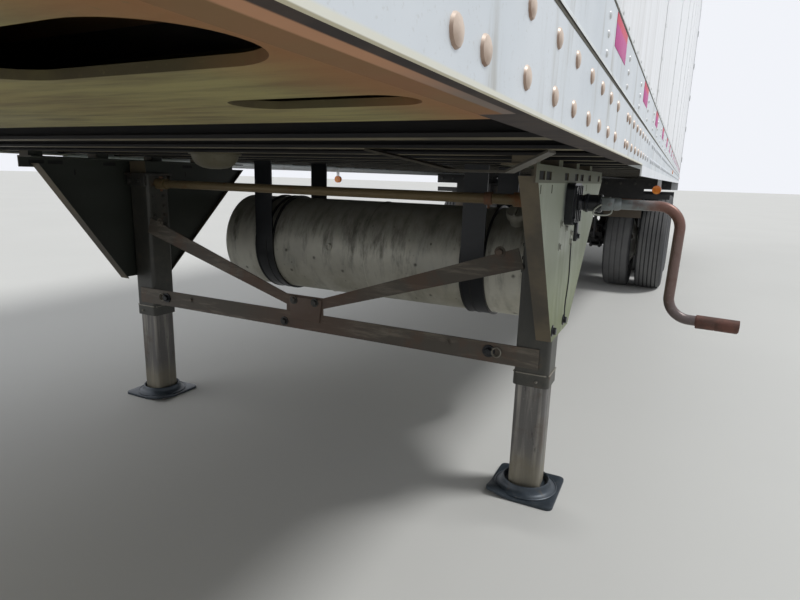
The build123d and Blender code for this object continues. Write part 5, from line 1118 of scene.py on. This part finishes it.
airTank = {"x": -7.000, "z": -0.3726, "radius": 0.11, "seams": (-0.35, 0.35), "straps": (-0.19, 0.19)}
seamProfile = [(-0.004, -0.0004), (-0.0015, 0.0018), (0.0015, 0.0018), (0.004, -0.0004)]
strapProfile = [(-0.016, -0.0002), (-0.016, 0.0022), (0.016, 0.0022), (0.016, -0.0002)]
pieces = [hoop(airTank, y, seamProfile, 48) for y in airTank["seams"]]
pieces += [hoop(airTank, y, strapProfile, 48) for y in airTank["straps"]]
pieces.append(turned((airTank["x"], 0.06, -0.478), (0, 0, -1),
                     [(0, 0.013), (0.012, 0.013), (0.013, 0.007), (0.026, 0.006)], 12))
dress("airTankFittings", pieces, "chassis_paint", "gearBolt", body="bogie")

release = {"x": -6.79, "z": -0.23, "end": 0.96,
           "grip": ((0, -0.004), (0.045, 0.006), (0.045, 0.07), (-0.045, 0.07), (-0.045, 0.006),
                    (0, -0.004))}
x, end, z = release["x"], release["end"], release["z"]
pieces = [bar((x, 0.56, z), (x, end, z), 0.008, 12),
          bentTube([(x + along, end + out, z) for along, out in release["grip"]], 0.0075, 6)]
dress("slideRelease", pieces, "chassis_paint", "rust", body="bogie")
barPlate = block((0.006, 0.372, 0.108), (-7.0695, 0.846, -0.369))
dress("guardBar", barPlate, "chassis_paint", "guard", True, "bogie")
pieces = hexBolts((1, 0, 0), 0.009, 0.006, [(-7.072, y, -0.072) for y in (0.66, 0.8, 0.94, 1.08, 1.22)])
pieces += hexBolts((-1, 0, 0), 0.009, 0.006, [(-9.59, y, -0.199) for y in (0.73, 0.9, 1.07, 1.24)])
dress("flapBolts", pieces, "chassis_paint", "gearBolt", True, "bogie")
pins = hexBolt((-6.3, 0.611, -0.028), (0, 1, 0), 0.008, 0.006)
dress("sliderBolts", inRow(pins, 18, (-0.305, 0, 0)), "chassis_paint", "gearBolt", True)
print("running gear")


# roof sheet with its seams, and the load space: ribbed floor, scuff rails, ceiling battens and bulkhead ribs
def makeRoofSheet(name, colour, grime):
    paint = Paint(name)
    x = paint.axes()[0]
    up = paint.facing()[2].between(0.4, 0.8)
    clouds = paint.noise(1.6, 5, 0.65)
    runs = paint.noise(9, 5, 0.65, (1, 0.2, 1))
    seam = (x / 1.2192).fract().near(0.5, 0.004, 0.01) * up
    bows = ((x / 0.6096).fract() - 0.5).absolute().between(0.0, 0.12) * up
    base = paint.layers(colour, (clouds.between(0.45, 0.68) * up * 0.5, grime),
                        (seam * (0.35 + runs * 0.5), (150, 146, 136)))
    return paint.finish(base, 0.4 + runs * 0.25, 0.0, bows * 0.4 + seam * 0.5 + runs * 0.2, 0.25, 0.004)


repaint("roof", makeRoofSheet("roofSheet", (214, 216, 216), (168, 164, 154)))
load = {"front": 0.836, "rear": -12.076, "floor": 0.2, "wall": 1.226, "ceiling": 2.78,
        "scuffs": ((0.33, 0.24), (1.15, 0.12))}  # height of the middle, width
length, middle = load["front"] - load["rear"], (load["front"] + load["rear"]) / 2
rib = block((length, 0.014, 0.0036), (middle, -1.175, load["floor"] + 0.0018), 0.001)
dress("floorRibs", inRow(rib, 48, (0, 0.05, 0)), "floor_foam")
pieces = [block((length, 0.004, width), (middle, load["wall"] - 0.002, z), 0.0012)
          for z, width in load["scuffs"]]
dress("wallScuffs", pieces, "mill_aluminium", None, True)
batten = block((0.05, 2.38, 0.004), (0.6, 0, load["ceiling"] - 0.002), 0.0012)
dress("ceilingBattens", inRow(batten, 22, (-0.6, 0, 0)), "white_panel", "mill_aluminium")
rib = block((0.008, 0.034, 1.96), (load["front"] - 0.002, -1.12, 1.25))
dress("bulkheadRibs", inRow(rib, 17, (0, 0.14, 0)), "white_panel", "mill_aluminium")
print("roof and load space")


# photo's camera, floor and studio light
view = {
    "place": (-0.6412, 1.4113, -0.0662),
    "right": (-0.44539, 0.89488, 0.02843),
    "down": (0.18007, 0.12064, -0.97623),
    "forward": (-0.87704, -0.42968, -0.21488),
    "lens": 25.297,
}
right, down, forward = (Vector(view[k]).normalized() for k in ("right", "down", "forward"))
turn = Matrix((right, -down, -forward)).transposed().to_4x4()
cameraData = bpy.data.cameras.new("photoCamera")
camera = bpy.data.objects.new("photoCamera", cameraData)
bpy.context.scene.collection.objects.link(camera)
camera.matrix_world = Matrix.Translation(view["place"]) @ turn
cameraData.lens = view["lens"]
cameraData.sensor_width = 36.0
cameraData.clip_start = 0.005
cameraData.clip_end = 300.0
bpy.context.scene.camera = camera

studio = {"floorSize": 240.0, "floorColour": (204, 204, 200), "skyColour": (0.93, 0.95, 1.0, 1.0),
          "skyStrength": 0.5, "seenSky": 0.95,
          "suns": (("keySun", 2.0, (0.25, -0.62, -1.0), 14.0), ("fillSun", 0.6, (-0.6, 0.9, -0.45), 60.0))}
bpy.ops.object.select_all(action="DESELECT")
bpy.ops.mesh.primitive_plane_add(size=studio["floorSize"], location=(-5.6, 0, cadBox[0][2]))
floorPlane = bpy.context.object
floorPlane.name = "studioFloor"
bpy.ops.object.transform_apply(location=True)
paint = Paint("studioFloor")
tone = paint.layers(studio["floorColour"], (paint.noise(0.6, 3).between(0.3, 0.7) * 0.3, (196, 196, 192)))
floorPlane.data.materials.append(paint.finish(tone, 0.85))

for name, power, aim, angle in studio["suns"]:
    lampData = bpy.data.lights.new(name, "SUN")
    lampData.energy = power
    lampData.angle = math.radians(angle)
    lamp = bpy.data.objects.new(name, lampData)
    lamp.rotation_euler = Vector(aim).to_track_quat("-Z", "Y").to_euler()
    bpy.context.scene.collection.objects.link(lamp)

world = bpy.data.worlds.new("studioSky")
bpy.context.scene.world = world
world.use_nodes = True
sky = world.node_tree.nodes["Background"]
rays = world.node_tree.nodes.new("ShaderNodeLightPath")
seen = world.node_tree.nodes.new("ShaderNodeMath")
seen.operation = "MAXIMUM"
world.node_tree.links.new(rays.outputs["Is Camera Ray"], seen.inputs[0])
world.node_tree.links.new(rays.outputs["Is Glossy Ray"], seen.inputs[1])
brightness = world.node_tree.nodes.new("ShaderNodeMapRange")
world.node_tree.links.new(seen.outputs[0], brightness.inputs["Value"])
brightness.inputs["To Min"].default_value = studio["skyStrength"]
brightness.inputs["To Max"].default_value = studio["seenSky"]
world.node_tree.links.new(brightness.outputs[0], sky.inputs["Strength"])
sky.inputs["Color"].default_value = studio["skyColour"]
bpy.context.scene.view_settings.view_transform = "Standard"
print("camera, floor and light")
